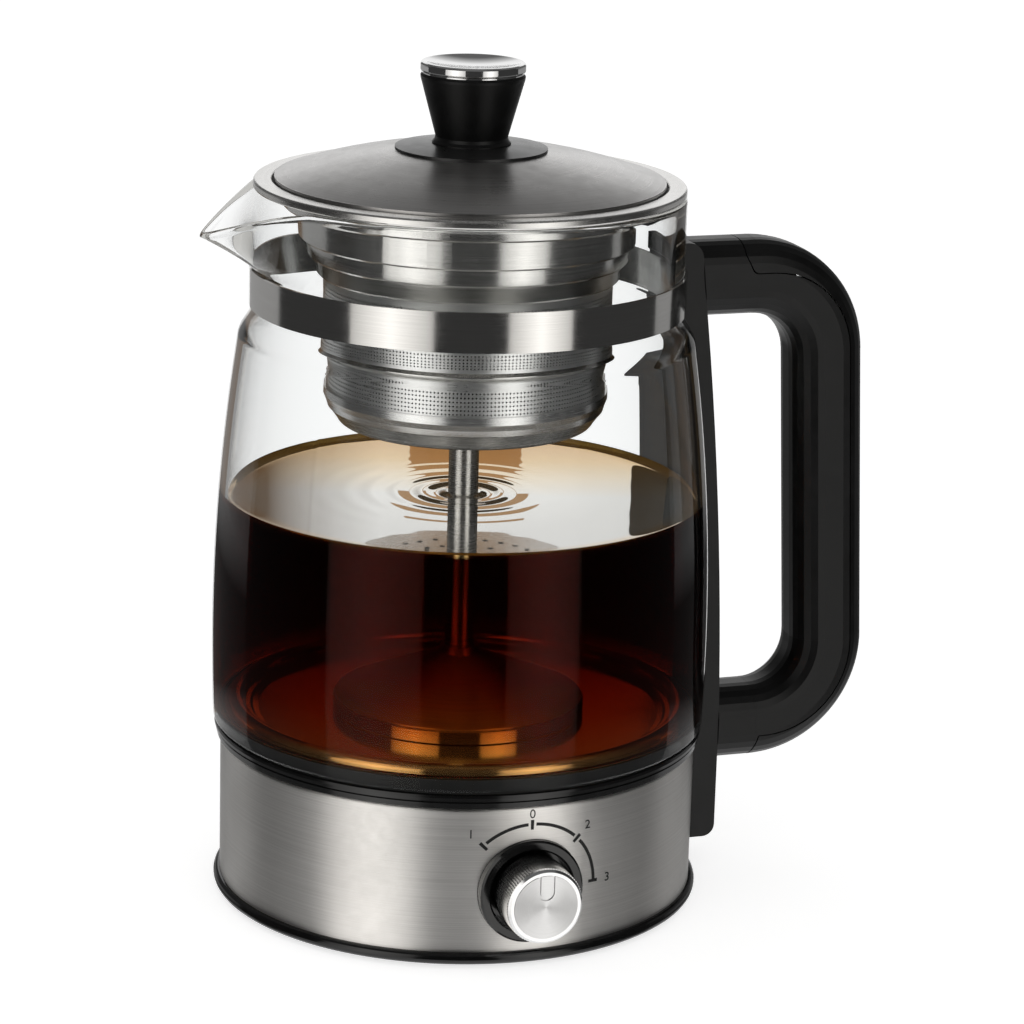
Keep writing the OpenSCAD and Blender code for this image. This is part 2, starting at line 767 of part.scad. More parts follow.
// Grip
// Outer edge of the back plate: it follows the belly from the upper arm (t = 0) to the base (t = 1)
function strip_edge(t) =
    let (
        z = grip_high_z + (base_top - grip_high_z) * t,
        high = max(strip_high_t, boss_end + boss_gap - belly(grip_high_z)),
        low = base_r + strip_t - belly(base_top)
    )
    [belly(z) + curve(high, strip_mid_t, low, t), z];
strip_top = grip_high_z + grip_d / 2 + 0.6;
strip_peak = [strip_edge(0)[0] - 1.2, strip_top];

// Side view of the back plate: its outer edge, and anything inside the pot
function strip_outline() = concat(
    [[40, strip_top]],
    corner([40, strip_top], strip_peak, strip_edge(0), 5, 6),
    [for (i = [0:12]) strip_edge(i / 12)],
    corner(strip_edge(1), [base_r + strip_t, strip_low], [40, strip_low], 4, 6),
    [[40, strip_low]]
);

module handle_strip() {
    color([0.09, 0.09, 0.09])
        difference() {
            sideways(strip_w) polygon(strip_outline());
            turned(pot_outline(0.25));
            translate([neck_r, 0, grip_high_z]) rotate([0, 90, 0])
                cylinder(r = 4.3, h = boss_end - neck_r + 0.2);
            translate([neck_r, 0, grip_high_z]) rotate([0, 90, 0]) cylinder(r = 2.1, h = 30);
            translate([base_r - 9, 0, grip_low_z]) rotate([0, 90, 0]) cylinder(r = 2.1, h = 40);
        }
}

// Cross-section of the grip with its edges rounded, made smaller by a wall
module grip_section(wall) {
    a = grip_d / 2 - wall;
    b = grip_w / 2 - wall;
    r = grip_round - wall * 0.6;
    polygon(concat(
        arc([a - r, b - r], r, 0, 90, 6),
        arc([r - a, b - r], r, 90, 180, 6),
        arc([r - a, r - b], r, 180, 270, 6),
        arc([a - r, r - b], r, 270, 360, 6)
    ));
}

// Straight lengths of the grip are a hair slimmer and run a little way into the bends
slim = 0.03;
overlap = 0.6;

// The bent part of the grip: upper corner, upright and lower corner
module grip_bent(wall) {
    translate([bend_high_x, 0, bend_high_z]) rotate([90, 0, 0]) rotate([0, 0, lean])
        rotate_extrude(angle = 90 - lean) translate([grip_bend, 0]) grip_section(wall);
    translate([bend_low_x, 0, bend_low_z]) rotate([90, 0, 0]) rotate([0, 0, -90])
        rotate_extrude(angle = 90 + lean) translate([grip_bend, 0]) grip_section(wall);
    translate([bend_low_x, 0, bend_low_z]) rotate([0, -lean, 0]) translate([grip_bend, 0, -overlap])
        linear_extrude(height = grip_len + 2 * overlap) grip_section(wall + slim);
}

module grip_solid() {
    translate([neck_r, 0, grip_high_z]) rotate([0, 90, 0])
        linear_extrude(height = bend_high_x - neck_r + overlap) grip_section(slim);
    translate([neck_r, 0, grip_low_z]) rotate([0, 90, 0])
        linear_extrude(height = bend_low_x - neck_r + overlap) grip_section(slim);
    grip_bent(0);
}

// Side view of the outer cover: everything outside the seam, moved out by a gap
seam_high = 2;
seam_out = 5.8;
seam_low = 3.6;
module cover_outline(gap) {
    start = [grip_high_x - 27.5 + gap, grip_high_z + seam_high + gap];
    upper = [grip_high_x + seam_out - 0.4 + gap, grip_high_z + seam_high + gap];
    lower = [grip_low_x + seam_out + 0.2 + gap, grip_low_z - seam_low - gap];
    end = [bend_low_x + 1.2 + gap, grip_low_z - seam_low - gap];
    polygon(concat(
        [[start[0] - 4.5, grip_high_z + 40], [start[0] - 2.6, grip_high_z + 8]],
        corner([start[0] - 2.6, grip_high_z + 8], start, upper, 2.5, 5),
        corner(start, upper, lower, grip_bend + 1, 12),
        corner(upper, lower, end, grip_bend + 3, 12),
        [end, end - [2, 8], [end[0], grip_low_z - 40]],
        [[grip_low_x + 60, grip_low_z - 40], [grip_low_x + 60, grip_high_z + 40]]
    ));
}

module handle_shell() {
    color([0.09, 0.09, 0.09])
        difference() {
            grip_solid();
            sideways(strip_w * 3) polygon(strip_outline());
            sideways(grip_w * 2) cover_outline(0);
            grip_bent(grip_wall);
            translate([neck_r, 0, grip_high_z]) rotate([0, 90, 0])
                cylinder(r = 2.1, h = bend_high_x - neck_r + 1);
            translate([neck_r, 0, grip_low_z]) rotate([0, 90, 0])
                cylinder(r = 2.1, h = bend_low_x - neck_r + 1);
        }
}

module handle_cover() {
    color([0.1, 0.1, 0.1])
        intersection() {
            difference() {
                grip_solid();
                grip_bent(grip_wall);
            }
            sideways(grip_w * 2) cover_outline(seam);
        }
}

module handle_screw(from, to) {
    rotate([0, 90, 0]) {
        translate([0, 0, from]) cylinder(r = 2, h = to - from);
        translate([0, 0, to]) difference() {
            cylinder(r = 3.6, h = 2.6);
            translate([0, 0, 1]) cylinder(r = 1.6, h = 3, $fn = 6);
        }
    }
}

module handle_screws() {
    color([0.62, 0.62, 0.64]) {
        translate([0, 0, grip_high_z]) handle_screw(neck_r + 2, bend_high_x);
        translate([0, 0, grip_low_z]) handle_screw(base_r - base_wall - 4, bend_low_x);
    }
}

// Pump
module pump_tube() {
    color([0.7, 0.7, 0.7])
        tube(stem_r, stem_r - stem_wall, bell_top - 6, stem_top);
}

module pump_bell() {
    hub = stem_r + 0.02;
    edge_z = bell_z + bell_edge;
    color([0.7, 0.68, 0.64])
        difference() {
            turned([
                [bell_r - 1, bell_z], [bell_r, bell_z], [bell_r, edge_z - 0.8],
                [bell_r - 0.7, edge_z + 0.2],
                [hub + 2, bell_top - 0.6], [hub + 1.2, bell_top + 1.4], [hub, bell_top + 1.4],
                [hub, bell_top - 5.9], [hub - 1, bell_top - 6.9], [hub - 0.6, bell_top - 7.4],
                [hub + 2, bell_top - 2.6], [bell_r - 1, edge_z - 1]
            ]);
            for (i = [0:bell_slots - 1])
                rotate([0, 0, slot_turn + 360 * i / bell_slots]) translate([bell_r - 3, -2.5, bell_z - 1])
                    cube([6, 5, 3.4]);
        }
}

module pump_stop() {
    color([0.66, 0.66, 0.66])
        turned([
            [stem_r + 0.02, cup_z - rest - 2.6], [stem_r + 1.2, cup_z - rest - 2.6],
            [stem_r + 1.9, cup_z - rest - 2],
            [stem_r + 1.9, cup_z - rest - 1.5], [stem_r + 1.4, cup_z - rest - 1.3],
            [stem_r + 2.2, cup_z - rest - 0.9],
            [stem_r + 2.2, cup_z - rest], [stem_r + 0.02, cup_z - rest]
        ]);
}

// Basket
module basket_cup() {
    wall_top = cup_z + cup_h;
    outer = mesh_r + sheet + 0.05;
    color([0.74, 0.74, 0.74])
        difference() {
            turned(concat(
                [[tube_r + 0.02, cup_z]],
                arc([cup_r - 2.5, cup_z + 2.5], 2.5, -90, -20, 5),
                [
                    [outer - 1.6, wall_top - 6.4], [outer - 1.2, wall_top - 6.1],
                    [outer - 0.7, wall_top - 4.2],
                    [outer, wall_top - 2.4], [outer, wall_top], [outer - sheet, wall_top],
                    [outer - sheet, wall_top - 2.2],
                    [outer - sheet - 0.8, wall_top - 4], [outer - sheet - 1.4, wall_top - 6]
                ],
                back(arc([cup_r - 2.5, cup_z + 2.5], 2.5 - sheet, -90, -20, 5)),
                [[tube_r + 0.02, cup_z + sheet]]
            ));
            for (ring = [0:2])
                around(16 + 8 * ring, 13 + 7.5 * ring) translate([0, 0, cup_z - 1]) cylinder(r = 1, h = 4);
        }
}

module basket_mesh() {
    color([0.8, 0.8, 0.8])
        turned(concat(
            [[mesh_r - 0.7, mesh_z], [mesh_r, mesh_z]],
            arc([mesh_r - 2, mesh_z + mesh_h - 2], 2, 0, 80, 5),
            back(arc([mesh_r - 2, mesh_z + mesh_h - 2], 1.3, 0, 80, 5))
        ));
}

module basket_bead() {
    color([0.76, 0.76, 0.76])
        turned([
            [sleeve_r - 3, bead_z + 1.5], [sleeve_r - 1.4, bead_z + 1.5], [sleeve_r + 0.2, bead_z + 2.4],
            [sleeve_r + 0.9, bead_z + 2.9], [sleeve_r + 0.9, bead_z + 3.3], [sleeve_r, bead_z + 4.8],
            [sleeve_r - 0.8, bead_z + 4.8], [sleeve_r - 0.8, bead_z + 3.4], [sleeve_r - 1.6, bead_z + 2.5],
            [sleeve_r - 3, bead_z + 2.5]
        ]);
}

module basket_sleeve() {
    color([0.8, 0.8, 0.8])
        tube(sleeve_r, sleeve_r - 0.7, sleeve_z, collar_z + 2.4);
}

module basket_collar() {
    color([0.78, 0.78, 0.78])
        turned([
            [sleeve_r + 0.02, collar_z], [collar_b - 0.6, collar_z], [collar_b, collar_z + 0.6],
            [collar_b, step_z],
            [collar_a - 0.6, step_z], [collar_a, step_z + 0.6], [collar_a, basket_top],
            [collar_a - sheet, basket_top],
            [collar_a - sheet, step_z + sheet], [collar_b - sheet, step_z + sheet],
            [collar_b - sheet, collar_z + sheet],
            [sleeve_r + 0.02, collar_z + sheet]
        ]);
}

module basket_tube() {
    color([0.76, 0.76, 0.76])
        tube(tube_r, tube_in, cup_z, step_z - 5);
}

module spreader_plate() {
    plate_r = collar_a - sheet - spreader_play;
    hole_r = stem_r + stem_play;
    ring_step = (plate_r - 18) / 3;
    color([0.8, 0.8, 0.8])
        difference() {
            turned([
                [hole_r, spreader_z], [plate_r - 1, spreader_z], [plate_r, spreader_z + 1],
                [plate_r, spreader_z + 3],
                [plate_r - sheet, spreader_z + 3], [plate_r - sheet, spreader_z + 1.2],
                [plate_r - 1.2, spreader_z + sheet],
                [hole_r + 2.4, spreader_z + sheet], [hole_r + 1, spreader_z + 2], [hole_r, spreader_z + 2]
            ]);
            for (ring = [0:3])
                around(10 + 6 * ring, 13 + ring_step * ring) translate([0, 0, spreader_z - 1])
                    cylinder(r = 1, h = 4);
        }
}

// Lid
module lid_skirt() {
    flange = 5;
    hem = 1.5;
    color([0.78, 0.78, 0.78])
        union() {
            turned([
                [skirt_in - flange, skirt_z], [skirt_in - 0.6, skirt_z], [skirt_in, skirt_z + 0.6],
                [skirt_in, tier_z], [skirt_r - 0.6, tier_z], [skirt_r, tier_z + 0.6],
                [skirt_r, lid_z - sheet], [skirt_r + hem, lid_z - sheet], [skirt_r + hem, lid_z],
                [skirt_r - sheet, lid_z], [skirt_r - sheet, tier_z + sheet],
                [skirt_in - sheet, tier_z + sheet],
                [skirt_in - sheet, skirt_z + sheet], [skirt_in - flange, skirt_z + sheet]
            ]);
            lap_seam(skirt_in, skirt_z + 0.9, tier_z + sheet / 2);
            lap_seam(skirt_r, tier_z + 0.9, lid_z - sheet / 2);
        }
}

// Second layer of the strip, from its open edge back round the skirt
module lap_seam(radius, low_z, high_z) {
    turn = seam_w / skirt_in * 180 / PI;
    reach = 2 * radius;
    intersection() {
        tube(radius + seam_t, radius - sheet / 2, low_z, high_z);
        rotate([0, 0, seam_turn]) translate([0, 0, low_z])
            linear_extrude(high_z - low_z)
                polygon([[0, 0], [reach, 0], [reach * cos(turn), -reach * sin(turn)]]);
    }
}

module lid_ring() {
    edge = neck_r - 0.2;
    color([0.84, 0.83, 0.81])
        turned(concat(
            [[skirt_r - 0.4, lid_z], [ring_in + sheet, lid_z], [ring_in + sheet, ring_top - sheet]],
            [[edge - sheet, ring_top - sheet], [edge - sheet, lid_z], [edge - 0.2, lid_z],
            [edge, lid_z + 0.4]],
            arc([edge - 0.9, ring_top - 0.9], 0.9, 0, 90, 4),
            [[ring_in + 0.3, ring_top], [ring_in, ring_top - 0.3], [ring_in, lid_z + sheet],
            [skirt_r - 0.4, lid_z + sheet]]
        ));
}

module lid_gasket() {
    color([0.05, 0.05, 0.05])
        tube(ring_in - 0.1, skirt_r, lid_z + sheet, dome_z - 1.5);
}

// Space under a sphere that carries the dome's outer face
module dome_space(wall) {
    translate([0, dome_mid]) circle(r = dome_curve - wall, $fn = 256);
}

module lid_dome() {
    color([0.6, 0.59, 0.58])
        rotate_extrude() union() {
            intersection() {
                difference() {
                    dome_space(0);
                    dome_space(sheet);
                }
                translate([2.3, dome_z - 2]) square([dome_r - 2.3 - 0.3, 40]);
            }
            translate([dome_r - sheet, dome_z - 1.5]) square([sheet, 1.6]);
        }
}

module knob_plate() {
    color([0.06, 0.06, 0.06])
        rotate_extrude() difference() {
            intersection() {
                dome_space(-disc_t);
                translate([2.3, dome_z]) square([disc_r - 2.3, disc_top - dome_z]);
            }
            dome_space(0);
        }
}

module lid_knob() {
    color([0.07, 0.07, 0.07])
        turned([
            [2.05, disc_top], [knob_foot + 1, disc_top], [knob_foot + 1, disc_top + 0.4],
            [knob_foot + 0.3, disc_top + 1.2],
            [knob_foot, disc_top + 2.2], [knob_r - 0.1, knob_top - 1.6], [knob_r, knob_top - 0.8],
            [knob_r - 0.5, knob_top],
            [6.1, knob_top], [6.1, knob_top - 6], [2.05, knob_top - 6]
        ]);
}

module knob_cap() {
    dish_r = knob_r - 1.6;
    dish_curve = (dish_r * dish_r + dish_h * dish_h) / (2 * dish_h);
    color([0.85, 0.85, 0.86])
        turned(concat(
            [[0, knob_top - 5.6], [5.6, knob_top - 5.6], [6, knob_top - 5.2], [6, knob_top],
            [knob_r - 0.5, knob_top]],
            [[knob_r - 0.5, knob_top + 0.3]],
            arc([knob_r - 0.7, knob_top + 1.1], 0.8, -90, 0, 4),
            arc([knob_r - 1, knob_top + cap_h - 1.1], 1.1, 0, 90, 6),
            arc([0, knob_top + cap_h - dish_h + dish_curve],
                dish_curve, asin(dish_r / dish_curve) - 90, -90, 12)
        ));
}

module knob_screw() {
    under = dome_top - sheet - 0.1;
    color([0.62, 0.62, 0.64])
        union() {
            translate([0, 0, under - 1]) cylinder(r = 2, h = knob_top - 7 - under + 1);
            translate([0, 0, under - 2.6]) difference() {
                cylinder(r = 4, h = 2.6);
                translate([-3, -0.4, -1]) cube([6, 0.8, 2]);
                translate([-0.4, -3, -1]) cube([0.8, 6, 2]);
            }
        }
}

foot_ring();
base_ring();
bottom_plate();
bottom_screws();
base_housing();
collar_ring();
glass_seal();
heating_plate();
heat_spreader();
heating_element();
thermostat();
thermal_fuse();
rotary_switch();
switch_nut();
dial_bezel();
power_inlet();
inlet_pins();
inner_wires();
glass_carafe();
neck_band();
handle_strip();
handle_shell();
handle_cover();
handle_screws();
dial_shaft();
dial_knob();
dial_face();
pump_tube();
pump_bell();
pump_stop();
basket_cup();
basket_mesh();
basket_bead();
basket_sleeve();
basket_collar();
basket_tube();
spreader_plate();
lid_skirt();
lid_ring();
lid_gasket();
lid_dome();
knob_plate();
lid_knob();
knob_cap();
knob_screw();
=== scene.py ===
"""Looks of the electric percolator: finishes, glass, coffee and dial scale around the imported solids.

Lengths are in metres in the part's own frame: +Z up, dial towards -Y, grip towards +X, spout towards -X.
"""
import math

import bpy
import numpy as np
from mathutils import Matrix, Vector


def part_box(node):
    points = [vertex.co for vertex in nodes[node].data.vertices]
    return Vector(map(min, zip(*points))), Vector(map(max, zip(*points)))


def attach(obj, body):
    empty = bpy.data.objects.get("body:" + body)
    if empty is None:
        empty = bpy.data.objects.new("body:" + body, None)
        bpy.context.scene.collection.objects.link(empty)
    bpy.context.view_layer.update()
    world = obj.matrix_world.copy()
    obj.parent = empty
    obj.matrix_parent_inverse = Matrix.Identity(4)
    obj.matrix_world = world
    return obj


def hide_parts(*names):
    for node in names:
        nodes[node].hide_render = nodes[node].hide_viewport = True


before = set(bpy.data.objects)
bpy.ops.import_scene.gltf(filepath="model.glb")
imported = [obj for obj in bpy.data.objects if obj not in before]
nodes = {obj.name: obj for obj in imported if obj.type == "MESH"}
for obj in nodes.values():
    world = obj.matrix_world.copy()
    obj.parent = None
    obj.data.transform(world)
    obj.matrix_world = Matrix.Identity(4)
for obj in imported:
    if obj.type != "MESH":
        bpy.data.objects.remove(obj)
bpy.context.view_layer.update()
MM = 0.001


def low(node):
    """Lowest corner of a CAD node."""
    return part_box(node)[0]


def high(node):
    """Highest corner of a CAD node."""
    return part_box(node)[1]


# Sizes taken from the imported solids, with the few that their boxes don't show
BASE_R = high("base_housing").x
DIAL_Z = (low("dial_knob").z + high("dial_knob").z) / 2
BELLY_R = high("glass_carafe").x
GLASS_FOOT = low("glass_carafe").z
RIM_Z = high("glass_carafe").z
TIP_X = -low("glass_carafe").x
BAND_Z = low("neck_band").z
NECK_Z = high("neck_band").z
BAND_SHEET = 0.9 * MM
NECK_R = high("neck_band").y - BAND_SHEET
PLATE_R = high("heating_plate").x
BELL_GAP = 0.3 * MM
HOT_Z = low("pump_bell").z - BELL_GAP
ROLL_R = 2.6 * MM
ROLL_EDGE = 1 * MM
ROLL_MID = PLATE_R - ROLL_R - ROLL_EDGE
FLANGE_Z = high("heating_plate").z - ROLL_R
STEM_R = high("pump_tube").x
SKIRT_HEIGHT = 4 * MM
SKIRT_TOP = low("pump_bell").z + SKIRT_HEIGHT
SKIRT_EDGE = 1 * MM

# Form of the glass, with angles in radians from the middle of the spout
WALL = 3 * MM
BELLY_Z = GLASS_FOOT + 25.6 * MM
BELLY_CURVE = 650 * MM
SHOULDER_LOW = BAND_Z - 10 * MM
SHOULDER_HIGH = BAND_Z
SPOUT_HALF = math.radians(27)
SPOUT_DIP = 10.4 * MM
DIP_HALF = SPOUT_HALF * 1.15
DIP_POWER = 1.3
LEAN_POWER = 1.25
TIP_ROUND = 2.5 * MM
ROOT_ROUND = 1.2 * MM
ROOT_START = -8
LIP_HALF = 1.2
LIP_ROUNDS = 30
NEAR_SHARE = 1.3
GLASS_IOR = 1.47
TURNED_BACK = 0.98
BODY_ROWS, BEND_ROWS, BAND_ROWS, SPOUT_ROWS = 40, 20, 8, 22
NEAR_COLS, FAR_COLS = 141, 180
LIP_STEPS = 9

# Coffee, with its tints by height from the plate to the edge that climbs the glass
COFFEE_Z = 129.5 * MM
MENISCUS = 1.6 * MM
MENISCUS_REACH = 1.1 * MM
RIPPLE_HEIGHT = 0.42 * MM
RIPPLE_LENGTH = 8.2 * MM
RIPPLE_REACH = 8.5 * MM
INTO_GLASS = 0.15 * MM
INTO_PLATE = 0.4 * MM
PLATE_STEPS_IN = np.array([0.2, 1.8, 2.6, 4.6]) * MM
PLATE_STEPS_DOWN = np.array([0.5, 0.65, 1.25]) * MM
TOP_ROWS, SIDE_ROWS, ROLL_ROWS, COFFEE_COLS = 160, 60, 13, 256
COFFEE_IOR = 1.02
ASLANT_POWER, ASLANT_RISE, ASLANT_LIMIT = 4.0, 0.2, 0.6
FRONT_TINT = [
    (0.0, (1.0, 0.9, 0.7)), (0.04, (1.0, 0.72, 0.36)), (0.1, (0.94, 0.46, 0.11)),
    (0.17, (0.84, 0.3, 0.06)), (0.25, (0.7, 0.16, 0.022)), (0.34, (0.56, 0.08, 0.012)),
    (0.44, (0.4, 0.03, 0.006)), (0.58, (0.17, 0.01, 0.003)), (0.8, (0.06, 0.004, 0.002)),
    (0.975, (0.04, 0.003, 0.001)), (1.0, (0.97, 0.8, 0.45)),
]
BACK_TINT = [
    (0.0, (0.12, 0.04, 0.01)), (0.03, (0.03, 0.006, 0.001)), (0.1, (0.006, 0.001, 0.0003)),
    (0.97, (0.003, 0.0004, 0.0002)), (1.0, (0.97, 0.8, 0.45)),
]

# Perforated walls of the basket
PITCH = 1.15 * MM
HOLE_R = 0.3 * MM
HOLE_SIDES = 8
SHEET = 0.7 * MM
SLEEVE_MARGIN = 1.4 * MM
SLEEVE_ROWS = 16.2
MESH_MARGIN = 1.2 * MM
MESH_CLEAR = 0.1 * MM
BEND_R = 2 * MM
BEND_TURNS = np.radians(np.linspace(10, 80, 6))

# Printed scale round the dial, with angles in degrees clockwise from the top
INK_DEPTH = 0.05 * MM
INK_CLEAR = 0.01 * MM
SCALE_R = 21.3 * MM
SCALE_LINE = 0.5 * MM
SCALE_ARCS = [(-41.5, -3.4), (3.4, 41.6), (48.4, 88.8)]
TICK_IN = 19.6 * MM
TICK_OUT = 22.7 * MM
TICKS = [-45, 0, 45, 90]
DIGITS = {"1": (-45, 26.6), "0": (0, 24.5), "2": (45, 26.4), "3": (90, 26.4)}
DIGIT_HEIGHT = 2.8 * MM
DIGIT_SHARE = 0.7
ARC_STEPS, TICK_STEPS = 40, 8

# Camera
CAMERA_TURN = math.radians(-18)
CAMERA_DISTANCE = 1.106
CAMERA_HEIGHT = 0.431
CAMERA_PITCH = math.radians(15.55)
CAMERA_YAW = math.radians(0.81)
CAMERA_ROLL = math.radians(1.61)
FOCAL_PIXELS = 3629
IMAGE_PIXELS = 1024
SENSOR = 36

# Studio, with heights and distances in metres and levels as shares of white
WHITE = (1, 1, 1, 1)
FLOOR_HALF = 4.0
FLOOR_DROP = 0.0002
FLOOR_GLOW = 0.72
WORLD_LIGHT = 0.45
OVERHEAD = 0.14
CLEAR_BELOW = math.radians(19)
DARK_ABOVE = math.radians(46)
WALL_DISTANCE = 2.3
BASE_TO_COFFEE = (-0.8, -0.7)
COFFEE_TO_BAND = (-0.5, -0.4)
BAND_TO_DOME = (0.2, 0.4)
FLAG_DISTANCE = 2.2
NEAR_FLAG_DISTANCE = 0.35
HARD_EDGE = 1e-4
CARD_LOW, CARD_HIGH = -1.6, 2.6
CARD_ROWS, CARD_COLS = 9, 33
SOFTBOX_DISTANCE = 1.5
SOFTBOX_LOW, SOFTBOX_HIGH = -1.0, 1.35
SOFTBOX_EDGE = 0.45


# Mesh helpers
def grid_faces(rows, cols, wrap_rows=False, wrap_cols=False):
    """Quads between neighbouring rows and columns of a grid, joined up round the wrapped ways."""
    i = np.arange(rows if wrap_rows else rows - 1)[:, None]
    j = np.arange(cols if wrap_cols else cols - 1)[None, :]
    next_i = (i + 1) % rows
    next_j = (j + 1) % cols
    quads = [i * cols + j, i * cols + next_j, next_i * cols + next_j, next_i * cols + j]
    return np.stack(np.broadcast_arrays(*quads), -1).reshape(-1, 4)


def volume(points, faces):
    """Signed volume inside a closed skin of quads: a sixth of each corner triple's box, added up."""
    a, b, c, d = (points[faces[:, k]] for k in range(4))
    first = np.einsum("ij,ij->i", a, np.cross(b, c))
    second = np.einsum("ij,ij->i", a, np.cross(c, d))
    return (first.sum() + second.sum()) / 6


def outward(points, faces):
    """The faces, turned round if the skin was inside out."""
    return faces if volume(points, faces) > 0 else faces[:, ::-1]


def compact(points, faces):
    """Points and faces without the points that no face uses."""
    used, renumbered = np.unique(faces, return_inverse=True)
    return points[used], renumbered.reshape(faces.shape)


def drop_repeats(face):
    """A quad's corners without a repeated one, so that a quad at a pole is a triangle."""
    return [v for k, v in enumerate(face) if v != face[k - 1]]


def piece(name, points, faces, body, finishes, crease=None, finish_of_face=None):
    """Piece of points and quads that rides on a body, smooth but for edges sharper than crease."""
    mesh = bpy.data.meshes.new(name)
    mesh.from_pydata(points.tolist(), [], [drop_repeats(f) for f in faces.tolist()])
    for finish in finishes:
        mesh.materials.append(finish)
    if finish_of_face is not None:
        mesh.polygons.foreach_set("material_index", finish_of_face.astype(np.int32))
    mesh.shade_smooth()
    if crease is not None:
        mesh.set_sharp_from_angle(angle=math.radians(crease))
    obj = bpy.data.objects.new(name, mesh)
    bpy.context.scene.collection.objects.link(obj)
    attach(obj, body)
    return obj


def around(radius, height, angles):
    """Grid of points: each (radius, height) of an outline turned to each angle about Z."""
    r, z = np.asarray(radius)[:, None], np.asarray(height)[:, None]
    return np.stack(np.broadcast_arrays(r * np.cos(angles), r * np.sin(angles), z), -1)


# Shader helpers
def new(tree, kind, links=None, **settings):
    """Adds a shader node, sets its properties, and fills or links its inputs."""
    made = tree.nodes.new("ShaderNode" + kind)
    for key, value in settings.items():
        setattr(made, key, value)
    for key, value in (links or {}).items():
        if isinstance(value, bpy.types.NodeSocket):
            tree.links.new(value, made.inputs[key])
        else:
            made.inputs[key].default_value = value
    return made


def maths(tree, operation, a, b=0.0, c=0.0):
    """Value of one Math node."""
    return new(tree, "Math", {0: a, 1: b, 2: c}, operation=operation).outputs[0]


def spread(tree, value, from_low, from_high, to_low, to_high):
    """Value moved from one range to another and kept inside it."""
    given = {"Value": value, "From Min": from_low, "From Max": from_high}
    return new(tree, "MapRange", {**given, "To Min": to_low, "To Max": to_high}).outputs[0]


def ramp(tree, value, stops):
    """Colour from a ramp of (place, colour) stops."""
    made = new(tree, "ValToRGB", {"Fac": value})
    elements = made.color_ramp.elements
    while len(elements) < len(stops):
        elements.new(0.5)
    for element, (place, colour) in zip(elements, stops):
        element.position = place
        element.color = (*colour, 1)
    return made.outputs[0]


def separate(tree, place):
    """The three coordinates of a place."""
    return new(tree, "SeparateXYZ", {0: place}).outputs


def from_axis_squared(tree, part):
    """Square of the distance from Z, from a place's coordinates."""
    return maths(tree, "MULTIPLY_ADD", part[1], part[1], maths(tree, "MULTIPLY", part[0], part[0]))


def group(name, inputs, outputs):
    """Empty shader group with named float or vector inputs and float outputs."""
    tree = bpy.data.node_groups.new(name, "ShaderNodeTree")
    for label, kind, value in inputs:
        socket = tree.interface.new_socket(label, in_out="INPUT", socket_type="NodeSocket" + kind)
        if value is not None:
            socket.default_value = value
    for label in outputs:
        tree.interface.new_socket(label, in_out="OUTPUT", socket_type="NodeSocketFloat")
    return tree, tree.nodes.new("NodeGroupInput").outputs, tree.nodes.new("NodeGroupOutput").inputs


def spun_brush_group():
    """Fine streaks round Z: noise that changes slowly with x and y, and fast with height and radius."""
    tree, given, out = group(
        "spun_brush",
        [("Vector", "Vector", None), ("Along", "Float", 40.0), ("Across", "Float", 4000.0)],
        ["Streak", "Patch"],
    )
    part = separate(tree, given["Vector"])
    rise = maths(tree, "ADD", part[2], maths(tree, "SQRT", from_axis_squared(tree, part)))
    lines = new(tree, "CombineXYZ", {
        0: maths(tree, "MULTIPLY", part[0], given["Along"]),
        1: maths(tree, "MULTIPLY", part[1], given["Along"]),
        2: maths(tree, "MULTIPLY", rise, given["Across"]),
    })
    fine = {"Vector": lines.outputs[0], "Scale": 1.0, "Detail": 4.0, "Roughness": 0.65}
    noise = new(tree, "TexNoise", fine)
    tree.links.new(spread(tree, noise.outputs[0], 0.3, 0.7, 0, 1), out["Streak"])
    slow = new(tree, "TexNoise", {"Vector": given["Vector"], "Scale": 28.0, "Detail": 3.0})
    tree.links.new(spread(tree, slow.outputs[0], 0.35, 0.65, 0, 1), out["Patch"])
    return tree


def handling_group():
    """Soft marks left by hands and cloths: two sizes of cloudy noise multiplied."""
    inputs = [("Vector", "Vector", None), ("Size", "Float", 40.0)]
    tree, given, out = group("handling", inputs, ["Mark"])
    large = new(tree, "TexNoise", {"Vector": given["Vector"], "Scale": given["Size"], "Detail": 2.0})
    cloth = {"Vector": given["Vector"], "Scale": maths(tree, "MULTIPLY", given["Size"], 9.0)}
    small = new(tree, "TexNoise", {**cloth, "Detail": 5.0, "Distortion": 0.6})
    both = maths(tree, "MULTIPLY", large.outputs[0], small.outputs[0])
    tree.links.new(spread(tree, both, 0.12, 0.42, 0, 1), out["Mark"])
    return tree


def moulded_group():
    """Grain of a spark-eroded mould: small rounded cells over finer noise."""
    inputs = [("Vector", "Vector", None), ("Size", "Float", 2200.0)]
    tree, given, out = group("moulded_grain", inputs, ["Height"])
    size = {"Vector": given["Vector"], "Scale": given["Size"]}
    cells = new(tree, "TexVoronoi", size, feature="SMOOTH_F1")
    fine = maths(tree, "MULTIPLY", given["Size"], 2.3)
    noise = new(tree, "TexNoise", {"Vector": given["Vector"], "Scale": fine, "Detail": 2.0})
    tree.links.new(maths(tree, "ADD", cells.outputs[0], noise.outputs[0]), out["Height"])
    return tree


SPUN_BRUSH = spun_brush_group()
HANDLING = handling_group()
MOULDED = moulded_group()


def effect(tree, shared, vector, **values):
    """Places a shared group in a material and returns its outputs."""
    made = tree.nodes.new("ShaderNodeGroup")
    made.node_tree = shared
    tree.links.new(vector, made.inputs["Vector"])
    for key, value in values.items():
        made.inputs[key].default_value = value
    return made.outputs


